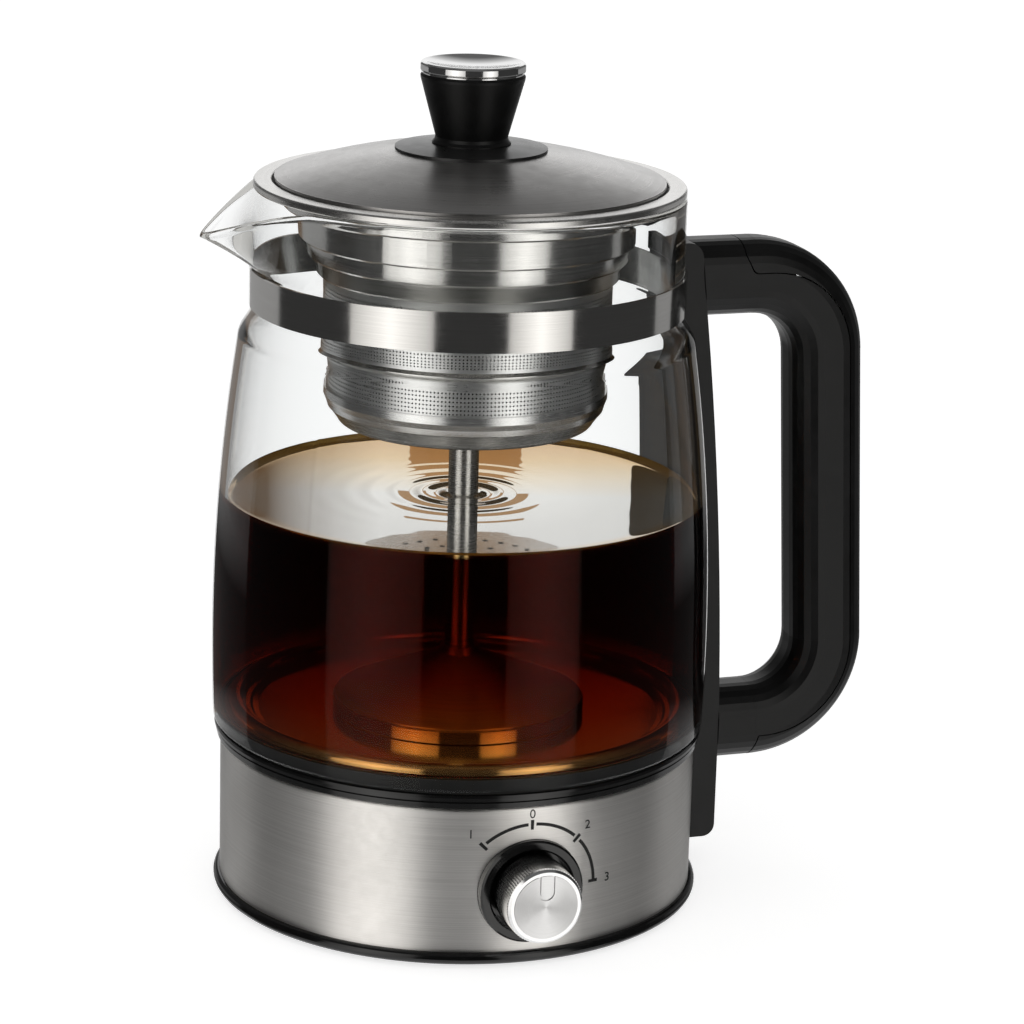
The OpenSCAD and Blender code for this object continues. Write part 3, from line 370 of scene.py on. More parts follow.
def finish(name, **sockets):
    """New material with a Principled shader and Object coordinates."""
    material = bpy.data.materials.new(name)
    material.use_nodes = True
    tree = material.node_tree
    shader = tree.nodes["Principled BSDF"]
    for key, value in sockets.items():
        shader.inputs[key.replace("_", " ")].default_value = value
    return material, tree, shader, new(tree, "TexCoord").outputs["Object"]


def mixed(tree, mask, a, b):
    """Colour between a and b by a mask."""
    made = new(tree, "Mix", {"Factor": mask}, data_type="RGBA")
    made.inputs[6].default_value = (*a, 1)
    made.inputs[7].default_value = (*b, 1)
    return made.outputs[2]


def bump(tree, shader, height, depth):
    """Small relief of a given depth on a shader's normal."""
    made = new(tree, "Bump", {"Height": height, "Distance": depth, "Strength": 1.0})
    tree.links.new(made.outputs[0], shader.inputs["Normal"])


# Finishes
ROUND_THE_AXIS = 0.25
PATCH_WEAR = 0.5
MARK_WEAR = 0.6


def brushed_metal(name, dark, light, rough, along, across, depth, stretch, level_axis=False):
    """Metal brushed or turned round Z, or round the dial's level axis.

    Streaks change its colour, roughness and relief, and patches and marks make it rougher in places.
    """
    material, tree, shader, place = finish(
        name, Metallic=1.0, Anisotropic=stretch, Anisotropic_Rotation=ROUND_THE_AXIS
    )
    if level_axis:
        turned = {"Vector": place, "Rotation": (math.radians(90), 0, 0), "Location": (0, DIAL_Z, 0)}
        place = new(tree, "Mapping", turned).outputs[0]
        tangent = new(tree, "Tangent", direction_type="RADIAL", axis="Y")
        tree.links.new(tangent.outputs[0], shader.inputs["Tangent"])
    brush = effect(tree, SPUN_BRUSH, place, Along=along, Across=across)
    marks = effect(tree, HANDLING, place, Size=30.0)
    tree.links.new(mixed(tree, brush["Streak"], dark, light), shader.inputs["Base Color"])
    streaked = spread(tree, brush["Streak"], 0, 1, *rough)
    span = rough[1] - rough[0]
    patchy = maths(tree, "MULTIPLY_ADD", brush["Patch"], span * PATCH_WEAR, streaked)
    worn = maths(tree, "MULTIPLY_ADD", marks["Mark"], span * MARK_WEAR, patchy)
    tree.links.new(worn, shader.inputs["Roughness"])
    bump(tree, shader, brush["Streak"], depth)
    return material


def plastic(name, colour, rough, size, depth, gloss=0.5):
    """Moulded plastic, rubber or ceramic with a fine grain and faint marks of handling."""
    material, tree, shader, place = finish(name, Specular_IOR_Level=gloss)
    marks = effect(tree, HANDLING, place, Size=22.0)
    grain = effect(tree, MOULDED, place, Size=size)
    lighter = [c * 1.5 + 0.002 for c in colour]
    tree.links.new(mixed(tree, marks["Mark"], colour, lighter), shader.inputs["Base Color"])
    tree.links.new(spread(tree, marks["Mark"], 0, 1, *rough), shader.inputs["Roughness"])
    bump(tree, shader, grain["Height"], depth)
    return material


def seen_ray(tree):
    """1 for camera, glossy and transmission rays, and 0 for the rays that light the object."""
    path = new(tree, "LightPath").outputs
    reflected = maths(tree, "MAXIMUM", path["Is Camera Ray"], path["Is Glossy Ray"])
    return maths(tree, "MAXIMUM", reflected, path["Is Transmission Ray"])


def lighting_ray(tree):
    """1 for the shadow and diffuse rays that light the object."""
    path = new(tree, "LightPath").outputs
    return maths(tree, "MAXIMUM", path["Is Shadow Ray"], path["Is Diffuse Ray"])


def mirrored_ray(tree):
    """1 for rays that a surface has mirrored."""
    return maths(tree, "GREATER_THAN", new(tree, "LightPath").outputs["Glossy Depth"], 0.5)


def chosen_ray(tree, mirrored):
    """1 for mirrored rays only, or for all but those."""
    once = mirrored_ray(tree)
    return once if mirrored else maths(tree, "SUBTRACT", 1.0, once)


def blend(tree, mask, first, second):
    """Shader between two others by a mask."""
    return new(tree, "MixShader", {0: mask, 1: first.outputs[0], 2: second.outputs[0]})


def see_through(tree, colour=WHITE):
    """Shader that lets light pass straight on."""
    return new(tree, "BsdfTransparent", {"Color": colour})


def put_out(tree, shader):
    """Makes a shader the material's surface."""
    tree.links.new(shader.outputs[0], tree.nodes["Material Output"].inputs["Surface"])


def clear_glass():
    """Clear glass, faintly grey along a long way through the wall, that lets light pass to what it holds.

    Above the band, light that would be turned back inside the thin lip passes straight on, so that the
    spout stays clear.
    """
    material, tree, shader, place = finish(
        "clear_glass", Transmission_Weight=1.0, IOR=GLASS_IOR, Base_Color=WHITE,
        Specular_Tint=(0.1, 0.1, 0.1, 1),
    )
    marks = effect(tree, HANDLING, place, Size=18.0)
    tree.links.new(spread(tree, marks["Mark"], 0, 1, 0.0, 0.012), shader.inputs["Roughness"])
    above_band = maths(tree, "GREATER_THAN", separate(tree, place)[2], NECK_Z)
    fresnel = new(tree, "Fresnel", {"IOR": GLASS_IOR}).outputs[0]
    turned_back = maths(tree, "GREATER_THAN", fresnel, TURNED_BACK)
    within = maths(tree, "MULTIPLY", turned_back, new(tree, "NewGeometry").outputs["Backfacing"])
    in_lip = maths(tree, "MULTIPLY", above_band, within)
    wall = blend(tree, in_lip, shader, see_through(tree, (0.55, 0.54, 0.52, 1)))
    put_out(tree, blend(tree, lighting_ray(tree), wall, see_through(tree, (0.96, 0.97, 0.97, 1))))
    grey = new(tree, "VolumeAbsorption", {"Color": (0.83, 0.855, 0.85, 1), "Density": 90.0})
    tree.links.new(grey.outputs[0], tree.nodes["Material Output"].inputs["Volume"])
    return material


def forwards(tree, part, from_low, from_high):
    """Share of the way towards the dial's side, along the photograph's line of sight."""
    sideways = maths(tree, "MULTIPLY", part[0], math.sin(CAMERA_TURN))
    ahead = maths(tree, "MULTIPLY_ADD", part[1], -math.cos(CAMERA_TURN), sideways)
    return spread(tree, ahead, from_low, from_high, 0, 1)


def tint(tree, level, stops):
    """Colour by level, squared because glass tints what passes one wall by the root of its colour."""
    return ramp(tree, level, [(place, [c * c for c in shade]) for place, shade in stops])


def coffee_body():
    """Coffee seen through its side: amber where it is thin over the plate, nearly black above, with a gloss.

    The front wall's tint shows what stands in the coffee, and the back wall's hides what is behind it.
    Light passing to the plate and bell, and what they mirror, is clear amber on the camera's side
    and painted shade on the far side.
    """
    material, tree, shader, place = finish(
        "coffee_body", Transmission_Weight=1.0, IOR=COFFEE_IOR, Roughness=0.0
    )
    part = separate(tree, place)
    level = spread(tree, part[2], HOT_Z, COFFEE_Z + MENISCUS, 0, 1)
    aslant = maths(tree, "POWER", new(tree, "LayerWeight").outputs["Facing"], ASLANT_POWER)
    raised = maths(tree, "MULTIPLY_ADD", aslant, ASLANT_RISE, level)
    level = maths(tree, "MAXIMUM", level, maths(tree, "MINIMUM", raised, ASLANT_LIMIT))
    colour = new(tree, "Mix", {
        "Factor": new(tree, "NewGeometry").outputs["Backfacing"],
        6: tint(tree, level, FRONT_TINT), 7: tint(tree, level, BACK_TINT),
    }, data_type="RGBA")
    tree.links.new(colour.outputs[2], shader.inputs["Base Color"])
    gloss = new(tree, "BsdfGlossy", {"Color": (0.015, 0.0008, 0.0003, 1), "Roughness": 0.05})
    glossy = new(tree, "AddShader", {0: shader.outputs[0], 1: gloss.outputs[0]})
    # painted shade: what passes the far side of the coffee is darkened, the camera's side stays clear amber
    painted_shade_behind = ramp(tree, forwards(tree, part, 0, BELLY_R), [
        (0.1, (0.15, 0.032, 0.006)), (0.5, (0.5, 0.15, 0.035)), (0.72, (1.0, 0.8, 0.55)),
    ])
    light = maths(tree, "MAXIMUM", lighting_ray(tree), mirrored_ray(tree))
    put_out(tree, blend(tree, light, glossy, see_through(tree, painted_shade_behind)))
    return material


def coffee_surface():
    """Still coffee top: pale mirror round the stem, milder outwards, painted amber light on the far side."""
    material, tree, shader, place = finish("coffee_surface", Roughness=0.02, IOR=1.6)
    part = separate(tree, place)
    share = spread(tree, maths(tree, "SQRT", from_axis_squared(tree, part)), 0, BELLY_R, 0, 1)
    # amber edge: partly the colour of coffee thin at the meniscus, partly painted light shining through it
    rim = spread(tree, share, 0.84, 0.95, 0, 1)
    far = maths(tree, "SUBTRACT", 1.0, forwards(tree, part, -BELLY_R, BELLY_R))
    # painted light: pale on the camera's side, turning to an amber glow on the far side
    colour = ramp(tree, far, [
        (0.0, (0.74, 0.72, 0.69)), (0.48, (0.84, 0.82, 0.78)), (0.62, (0.88, 0.74, 0.54)),
        (0.76, (0.84, 0.56, 0.24)), (0.94, (0.66, 0.34, 0.06)),
    ])
    amber_edge_and_painted_glow = new(tree, "Mix", {"Factor": rim, 6: colour, 7: (0.8, 0.45, 0.09, 1)}, data_type="RGBA")
    tree.links.new(amber_edge_and_painted_glow.outputs[2], shader.inputs["Base Color"])
    tree.links.new(spread(tree, share, 0.3, 0.6, 0.92, 0.8), shader.inputs["Metallic"])
    return material


def dished_chrome():
    """Polished cap whose top is a dish that rises with the square of the distance from its middle."""
    material, tree, shader, place = finish("chrome", Metallic=1.0)
    marks = effect(tree, HANDLING, place, Size=60.0)
    colour = mixed(tree, marks["Mark"], (0.74, 0.74, 0.74), (0.8, 0.8, 0.8))
    tree.links.new(colour, shader.inputs["Base Color"])
    tree.links.new(spread(tree, marks["Mark"], 0, 1, 0.04, 0.09), shader.inputs["Roughness"])
    rim = high("knob_cap").x
    dish = maths(tree, "DIVIDE", from_axis_squared(tree, separate(tree, place)), rim * rim)
    bump(tree, shader, dish, 2.2 * MM)
    return material


def turned_bell():
    """Turned steel bell: a polished skirt, and above it a cone brushed round, whose lights run down it."""
    material, tree, shader, place = finish(
        "turned_bell", Metallic=1.0, Anisotropic=0.85, Anisotropic_Rotation=ROUND_THE_AXIS
    )
    brush = effect(tree, SPUN_BRUSH, place, Along=24.0, Across=3600.0)
    colour = mixed(tree, brush["Streak"], (0.5, 0.48, 0.45), (0.66, 0.64, 0.6))
    tree.links.new(colour, shader.inputs["Base Color"])
    on_cone = spread(tree, separate(tree, place)[2], SKIRT_TOP, SKIRT_TOP + SKIRT_EDGE, 0.08, 0.42)
    rough = maths(tree, "MULTIPLY_ADD", brush["Streak"], 0.05, on_cone)
    tree.links.new(rough, shader.inputs["Roughness"])
    bump(tree, shader, brush["Streak"], 2e-6)
    return material


BRUSHED_STEEL = brushed_metal(
    "brushed_steel", dark=(0.74, 0.72, 0.69), light=(0.9, 0.88, 0.85), rough=(0.3, 0.42),
    along=14.0, across=3600.0, depth=6e-6, stretch=0.75,
)
DOME_STEEL = brushed_metal(
    "dome_steel", dark=(0.42, 0.41, 0.4), light=(0.56, 0.55, 0.54), rough=(0.2, 0.32),
    along=16.0, across=3000.0, depth=4e-6, stretch=0.6,
)
SATIN_STEEL = brushed_metal(
    "satin_steel", dark=(0.68, 0.67, 0.65), light=(0.78, 0.77, 0.75), rough=(0.16, 0.26),
    along=20.0, across=3600.0, depth=3e-6, stretch=0.4,
)
POLISHED_STEEL = brushed_metal(
    "polished_steel", dark=(0.64, 0.63, 0.61), light=(0.72, 0.71, 0.69), rough=(0.05, 0.11),
    along=30.0, across=2600.0, depth=1e-6, stretch=0.2,
)
PLAIN_STEEL = brushed_metal(
    "plain_steel", dark=(0.56, 0.55, 0.53), light=(0.66, 0.65, 0.63), rough=(0.14, 0.24),
    along=24.0, across=3000.0, depth=2e-6, stretch=0.3,
)
TURNED_STEEL = brushed_metal(
    "turned_steel", dark=(0.6, 0.59, 0.57), light=(0.72, 0.71, 0.69), rough=(0.06, 0.13),
    along=24.0, across=3600.0, depth=2e-6, stretch=0.5,
)
BELL_STEEL = turned_bell()
CHROME = dished_chrome()
PERFORATED_STEEL = brushed_metal(
    "perforated_steel", dark=(0.8, 0.8, 0.79), light=(0.9, 0.9, 0.89), rough=(0.24, 0.32),
    along=30.0, across=2400.0, depth=2e-6, stretch=0.2,
)
PRESSED_STEEL = brushed_metal(
    "pressed_steel", dark=(0.76, 0.755, 0.745), light=(0.86, 0.855, 0.845), rough=(0.17, 0.25),
    along=30.0, across=2800.0, depth=2e-6, stretch=0.3,
)
ROLLED_STEEL = brushed_metal(
    "rolled_steel", dark=(0.68, 0.67, 0.65), light=(0.78, 0.77, 0.75), rough=(0.11, 0.18),
    along=26.0, across=2800.0, depth=0.5e-6, stretch=0.4,
)
SPUN_ALUMINIUM = brushed_metal(
    "spun_aluminium", dark=(0.62, 0.62, 0.62), light=(0.74, 0.74, 0.74), rough=(0.26, 0.36),
    along=20.0, across=5200.0, depth=4e-6, stretch=0.8, level_axis=True,
)
KNURLED_ALUMINIUM = brushed_metal(
    "knurled_aluminium", dark=(0.74, 0.74, 0.74), light=(0.84, 0.84, 0.84), rough=(0.14, 0.22),
    along=400.0, across=2400.0, depth=5e-7, stretch=0.1, level_axis=True,
)
DULL_METAL = brushed_metal(
    "dull_metal", dark=(0.42, 0.41, 0.4), light=(0.52, 0.51, 0.5), rough=(0.4, 0.55),
    along=60.0, across=1500.0, depth=4e-6, stretch=0.0,
)
BRASS = brushed_metal(
    "brass", dark=(0.62, 0.47, 0.2), light=(0.74, 0.58, 0.28), rough=(0.18, 0.3),
    along=200.0, across=2400.0, depth=2e-6, stretch=0.0, level_axis=True,
)
SATIN_BLACK = plastic(
    "satin_black", colour=(0.005, 0.005, 0.005), rough=(0.34, 0.44), size=2600.0, depth=5e-6, gloss=0.28
)
GLOSS_BLACK = plastic(
    "gloss_black", colour=(0.006, 0.006, 0.006), rough=(0.1, 0.18), size=900.0, depth=6e-7
)
SATIN_DISC = plastic(
    "satin_disc", colour=(0.014, 0.014, 0.014), rough=(0.26, 0.34), size=2600.0, depth=3e-6
)
BLACK_RUBBER = plastic(
    "black_rubber", colour=(0.012, 0.012, 0.012), rough=(0.55, 0.7), size=1800.0, depth=1e-5, gloss=0.3
)
SWITCH_BODY = plastic(
    "switch_body", colour=(0.05, 0.05, 0.055), rough=(0.45, 0.55), size=1800.0, depth=6e-6
)
RED_SLEEVE = plastic("red_sleeve", colour=(0.35, 0.03, 0.02), rough=(0.4, 0.5), size=1800.0, depth=4e-6)
CERAMIC = plastic("ceramic", colour=(0.6, 0.56, 0.46), rough=(0.5, 0.6), size=1400.0, depth=6e-6)
SCALE_INK = plastic(
    "scale_ink", colour=(0.004, 0.004, 0.004), rough=(0.45, 0.55), size=4000.0, depth=1e-6
)
CLEAR_GLASS = clear_glass()
COFFEE_BODY = coffee_body()
COFFEE_SURFACE = coffee_surface()

FINISH_OF = {
    BRUSHED_STEEL: ["base_housing"],
    DOME_STEEL: ["lid_dome"],
    SATIN_STEEL: ["lid_ring"],
    POLISHED_STEEL: ["neck_band"],
    ROLLED_STEEL: ["lid_skirt", "basket_collar", "basket_bead"],
    PRESSED_STEEL: ["basket_cup"],
    PLAIN_STEEL: [
        "pump_tube", "pump_stop", "basket_tube", "spreader_plate",
        "bottom_screws", "handle_screws", "knob_screw", "switch_nut", "dial_shaft",
    ],
    TURNED_STEEL: ["heating_plate"],
    BELL_STEEL: ["pump_bell"],
    CHROME: ["knob_cap"],
    PERFORATED_STEEL: ["basket_sleeve", "basket_mesh"],
    SPUN_ALUMINIUM: ["dial_face"],
    KNURLED_ALUMINIUM: ["dial_knob"],
    DULL_METAL: ["heat_spreader", "heating_element", "thermostat"],
    BRASS: ["inlet_pins"],
    SATIN_BLACK: ["handle_strip", "handle_shell", "handle_cover", "lid_knob", "bottom_plate"],
    GLOSS_BLACK: ["collar_ring", "base_ring", "dial_bezel", "power_inlet"],
    SATIN_DISC: ["knob_plate"],
    BLACK_RUBBER: ["foot_ring", "glass_seal", "lid_gasket"],
    SWITCH_BODY: ["rotary_switch"],
    RED_SLEEVE: ["inner_wires"],
    CERAMIC: ["thermal_fuse"],
    CLEAR_GLASS: ["glass_carafe"],
}
for material, names in FINISH_OF.items():
    for name in names:
        nodes[name].data.materials.clear()
        nodes[name].data.materials.append(material)


# Glass
def belly(z):
    """Outer radius of the long upright curve: an arc of a large circle about the widest place."""
    return BELLY_R - BELLY_CURVE + np.sqrt(BELLY_CURVE**2 - (z - BELLY_Z) ** 2)


def glass_radius(z):
    """Outer radius of the glass: the belly, eased by half a cosine into the straight neck."""
    t = np.clip((z - SHOULDER_LOW) / (SHOULDER_HIGH - SHOULDER_LOW), 0, 1)
    ease = 0.5 - 0.5 * np.cos(np.pi * t)
    return belly(z) * (1 - ease) + NECK_R * ease


def lip_outline(angle):
    """Radius and height of the lip at an angle from the spout's middle.

    In plan the lip runs straight from each side of the neck to a rounded tip, and it dips towards the tip.
    Its radius is found in rounds, as it decides how far aside a place lies, and eased out of the neck's.
    """
    root_x, root_y = NECK_R * math.cos(SPOUT_HALF), NECK_R * math.sin(SPOUT_HALF)
    slope = (TIP_X - root_x) / root_y
    least = 0.5 * NECK_R
    radius = np.full_like(angle, NECK_R)
    for _ in range(LIP_ROUNDS):
        aside = np.sqrt((radius * np.sin(angle)) ** 2 + TIP_ROUND**2) - TIP_ROUND
        radius = (TIP_X - slope * aside) / np.cos(np.clip(angle, -LIP_HALF, LIP_HALF))
        radius = np.clip(radius, least, TIP_X)
    radius = np.where(np.abs(angle) < LIP_HALF, radius, least)
    share = np.clip(aside / root_y, 0, 1)
    past = (radius - NECK_R) / ROOT_ROUND
    grown = NECK_R + ROOT_ROUND * np.logaddexp(0, past) - ROOT_ROUND * np.logaddexp(0, ROOT_START)
    dip = np.where(np.abs(angle) < DIP_HALF, (1 - share) ** DIP_POWER, 0)
    return np.minimum(grown, TIP_X), RIM_Z - SPOUT_DIP * dip


def glass_points(angle, wall):
    """Upright lines of the wall at each angle from the spout, from foot to lip, moved in by a wall.

    The body is turned; above the band each line leans from the neck to the lip, more so higher up.
    """
    low_z = np.linspace(GLASS_FOOT + WALL / 2, SHOULDER_LOW, BODY_ROWS, endpoint=False)
    bend_z = np.linspace(SHOULDER_LOW, SHOULDER_HIGH, BEND_ROWS, endpoint=False)
    band_z = np.linspace(SHOULDER_HIGH, NECK_Z, BAND_ROWS, endpoint=False)
    body_z = np.concatenate([low_z, bend_z, band_z])
    body_r = glass_radius(body_z) - wall
    radius, top = lip_outline(angle)
    t = np.linspace(0, 1, SPOUT_ROWS)[:, None]
    spout_r = NECK_R + (radius - NECK_R) * t**LEAN_POWER - wall
    spout_z = NECK_Z + (top - WALL / 2 - NECK_Z) * t
    r = np.concatenate([np.repeat(body_r[:, None], len(angle), 1), spout_r])
    z = np.concatenate([np.repeat(body_z[:, None], len(angle), 1), spout_z])
    return r, z


def carafe_glass():
    """Closed skin of the carafe: outer wall, round lip, inner wall and round foot, swept round the axis."""
    near = np.linspace(-NEAR_SHARE, NEAR_SHARE, NEAR_COLS) * SPOUT_HALF
    side = NEAR_SHARE * SPOUT_HALF
    far = np.linspace(side, 2 * np.pi - side, FAR_COLS)[1:-1]
    angle = np.concatenate([near, far])
    signed = np.where(angle > np.pi, angle - 2 * np.pi, angle)
    out_r, out_z = glass_points(signed, 0)
    in_r, in_z = glass_points(signed, WALL)
    bow = np.linspace(0, np.pi, LIP_STEPS)[1:-1, None]
    lip_r = in_r[-1] + WALL / 2 + WALL / 2 * np.cos(bow)
    lip_z = out_z[-1] + WALL / 2 * np.sin(bow)
    foot_r = in_r[0] + WALL / 2 - WALL / 2 * np.cos(bow)
    foot_z = out_z[0] - WALL / 2 * np.sin(bow)
    r = np.concatenate([out_r, lip_r, in_r[::-1], foot_r])
    z = np.concatenate([out_z, lip_z, in_z[::-1], foot_z])
    points = np.stack([-r * np.cos(angle), -r * np.sin(angle), z], -1)
    faces = grid_faces(len(r), len(angle), True, True)
    points = points.reshape(-1, 3)
    glass = piece("carafe_glass", points, outward(points, faces), "pot", [CLEAR_GLASS])
    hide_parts("glass_carafe")


# Coffee
def coffee():
    """Coffee in the carafe: a turned body, a hair into the glass, whose top has rings round the stem.

    The rings are a cosine of the distance from the stem that dies away outwards; the edge climbs the glass.
    The floor lies a hair inside the sheet of the heating plate and follows its rolled rim.
    """
    inside = glass_radius(np.array(COFFEE_Z)) - WALL
    top_r = np.linspace(0, 1, TOP_ROWS) * inside
    from_stem = np.maximum(top_r - STEM_R, 0)
    fade = np.exp(-from_stem / RIPPLE_REACH)
    top_z = COFFEE_Z + RIPPLE_HEIGHT * fade * np.cos(2 * np.pi * from_stem / RIPPLE_LENGTH)
    top_z = top_z + MENISCUS * np.exp(-(inside - top_r) / MENISCUS_REACH)
    side_z = np.linspace(COFFEE_Z + MENISCUS, FLANGE_Z - INTO_PLATE, SIDE_ROWS)
    side_r = glass_radius(side_z) - WALL + INTO_GLASS
    bow = np.linspace(0, np.pi, ROLL_ROWS)
    roll_r = ROLL_MID + (ROLL_R - INTO_PLATE) * np.cos(bow)
    roll_z = FLANGE_Z + (ROLL_R - INTO_PLATE) * np.sin(bow)
    steps_r = ROLL_MID - ROLL_R - PLATE_STEPS_IN
    steps_z = FLANGE_Z - INTO_PLATE - PLATE_STEPS_DOWN
    hot_z = HOT_Z - INTO_PLATE
    r = np.concatenate([top_r, side_r, [PLATE_R], roll_r, steps_r, [0]])
    z = np.concatenate([top_z, side_z, [FLANGE_Z - INTO_PLATE], roll_z, steps_z, [hot_z, hot_z]])
    angles = np.linspace(0, 2 * np.pi, COFFEE_COLS, endpoint=False)
    points = around(r, z, angles).reshape(-1, 3)
    rows, cols = len(r), len(angles)
    faces = outward(points, grid_faces(rows, cols, False, True))
    last_row = (rows - 1) * cols
    faces = np.where(faces < cols, 0, np.where(faces >= last_row, last_row, faces))
    row_of_face = np.arange(rows - 1).repeat(cols)
    piece(
        "coffee", *compact(points, faces), "pot", [COFFEE_BODY, COFFEE_SURFACE],
        finish_of_face=(row_of_face < len(top_r) - 1),
    )


# Perforated walls of the basket
def perforated_wall(name, node, radius, rows_z, below, above):
    """Sheet bent round the axis with rows of eight-sided holes, and plain margins below and above.

    A grid at half the pitch carries corners and edge middles of the cells. Each cell joins its eight outer
    points to the eight points of its hole, on the outer and inner face, and the hole's wall joins the faces.
    A margin is a list of rings, each with its radius, its height and the sheet's normal outwards and up.
    """
    cells = int(round(2 * np.pi * radius / PITCH))
    rows = int((rows_z[1] - rows_z[0]) / PITCH)
    step_a, step_z = 2 * np.pi / cells, (rows_z[1] - rows_z[0]) / rows
    ring = np.arange(2 * cells)
    ring_a = ring * step_a / 2
    grid_a, grid_z = np.meshgrid(ring_a, rows_z[0] + np.arange(2 * rows + 1) * step_z / 2)
    i, j = np.meshgrid(np.arange(cells), np.arange(rows), indexing="ij")
    i, j = i.ravel(), j.ravel()
    around_cell = np.array([(2, 1), (2, 2), (1, 2), (0, 2), (0, 1), (0, 0), (1, 0), (2, 0)])
    grid_i = (2 * i[:, None] + around_cell[:, 0]) % (2 * cells)
    grid_j = 2 * j[:, None] + around_cell[:, 1]
    outer = grid_j * 2 * cells + grid_i
    turn = np.arange(HOLE_SIDES) * 2 * np.pi / HOLE_SIDES
    hole_a = ((i + 0.5) * step_a)[:, None] + HOLE_R / radius * np.cos(turn)
    hole_z = rows_z[0] + ((j + 0.5) * step_z)[:, None] + HOLE_R * np.sin(turn)
    holes = grid_a.size + np.arange(i.size * HOLE_SIDES).reshape(-1, HOLE_SIDES)

    def face_points(inset):
        """Points of one face of the sheet, moved in by an inset along the sheet's own normal."""
        parts = []
        for a, z in ((grid_a, grid_z), (hole_a, hole_z)):
            parts.append(np.stack([(radius - inset) * np.cos(a), (radius - inset) * np.sin(a), z], -1))
        for edge in (below, above):
            r, z, out_r, out_z = np.array(edge).T
            parts.append(around(r - inset * out_r, z - inset * out_z, ring_a))
        return np.concatenate([part.reshape(-1, 3) for part in parts])

    next_k = np.roll(np.arange(HOLE_SIDES), -1)
    skin = [np.stack([outer, outer[:, next_k], holes[:, next_k], holes], -1).reshape(-1, 4)]
    start = grid_a.size + holes.size
    ends = []
    for edge, last, flip in ((below, ring, True), (above, ring + 2 * rows * len(ring), False)):
        for k in range(len(edge)):
            this = start + k * len(ring) + ring
            strip = np.stack([last, np.roll(last, -1), np.roll(this, -1), this], -1)
            skin.append(strip[:, ::-1] if flip else strip)
            last = this
        start += len(edge) * len(ring)
        ends.append(last)
    skin = np.concatenate(skin)
    points = np.concatenate([face_points(0), face_points(SHEET)])
    count = len(points) // 2

    def rim(first, second):
        """Quads that join an edge of the outer face to the same edge of the inner face."""
        return np.stack([second + count, first + count, first, second], -1).reshape(-1, 4)

    low_end, top_end = ends
    faces = np.concatenate([
        skin, skin[:, ::-1] + count, rim(holes, holes[:, next_k]),
        rim(low_end, np.roll(low_end, -1)), rim(np.roll(top_end, -1), top_end),
    ])
    points, faces = compact(points, faces)
    wall = piece(name, points, outward(points, faces), "basket", [PERFORATED_STEEL], crease=35)
    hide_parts(node)


def basket_walls():
    """The two perforated walls: a straight sleeve, and a lower wall with a rounded shoulder."""
    sleeve_r = high("basket_sleeve").x
    z0, z1 = low("basket_sleeve").z, high("basket_sleeve").z
    first_z = z0 + SLEEVE_MARGIN
    perforated_wall(
        "perforated_sleeve", "basket_sleeve", sleeve_r, (first_z, first_z + SLEEVE_ROWS * PITCH),
        below=[(sleeve_r, z0, 1, 0)], above=[(sleeve_r, z1, 1, 0)],
    )
    mesh_r = high("basket_mesh").x
    z0, z1 = low("basket_mesh").z, high("basket_mesh").z
    bend_z = z1 - BEND_R * math.sin(BEND_TURNS[-1])
    shoulder = [
        (mesh_r - BEND_R + BEND_R * c, bend_z + BEND_R * s, c, s)
        for c, s in zip(np.cos(BEND_TURNS), np.sin(BEND_TURNS))
    ]
    perforated_wall(
        "perforated_wall", "basket_mesh", mesh_r, (z0 + MESH_MARGIN, bend_z - MESH_CLEAR),
        below=[(mesh_r, z0, 1, 0)], above=[(mesh_r, bend_z, 1, 0), *shoulder],
    )


# Printed scale round the dial
def on_shell(across, up, lift):
    """Place on the front of the base shell, lifted off the steel, from distances across and up."""
    radius = BASE_R + lift
    return np.stack(np.broadcast_arrays(across, -np.sqrt(radius**2 - across**2), DIAL_Z + up), -1)


def ink_stroke(name, left, right):
    """Thin closed strip of ink between two lines on the shell, given as arrays of (across, up)."""
    corners = [(left, INK_CLEAR), (right, INK_CLEAR), (right, INK_DEPTH), (left, INK_DEPTH)]
    section = np.stack([on_shell(line[:, 0], line[:, 1], lift) for line, lift in corners], 1)
    rows = len(left)
    faces = grid_faces(rows, 4, False, True)
    ends = np.array([[3, 2, 1, 0], [4 * rows - 4, 4 * rows - 3, 4 * rows - 2, 4 * rows - 1]])
    points = section.reshape(-1, 3)
    faces = np.concatenate([faces, ends])
    return piece(name, points, outward(points, faces), "pot", [SCALE_INK], crease=30)


def from_top(degrees, radius):
    """Distance across and up from the dial's axis, for an angle clockwise from the top."""
    turn = np.radians(degrees)
    return np.stack([radius * np.sin(turn), radius * np.cos(turn)], -1)


def dial_scale():
    """Arcs between the ticks, the ticks, and plain digits beside them."""
    for k, (start, stop) in enumerate(SCALE_ARCS):
        sweep = np.linspace(start, stop, ARC_STEPS)
        inner, outer = from_top(sweep, SCALE_R - SCALE_LINE), from_top(sweep, SCALE_R + SCALE_LINE)
        ink_stroke(f"scale_arc_{k + 1}", inner, outer)
    half = math.degrees(SCALE_LINE / SCALE_R)
    reach = np.linspace(TICK_IN, TICK_OUT, TICK_STEPS)
    for k, at in enumerate(TICKS):
        ink_stroke(f"scale_tick_{k + 1}", from_top(at - half, reach), from_top(at + half, reach))
    for text, (at, radius) in DIGITS.items():
        digit(text, *from_top(at, radius * MM))


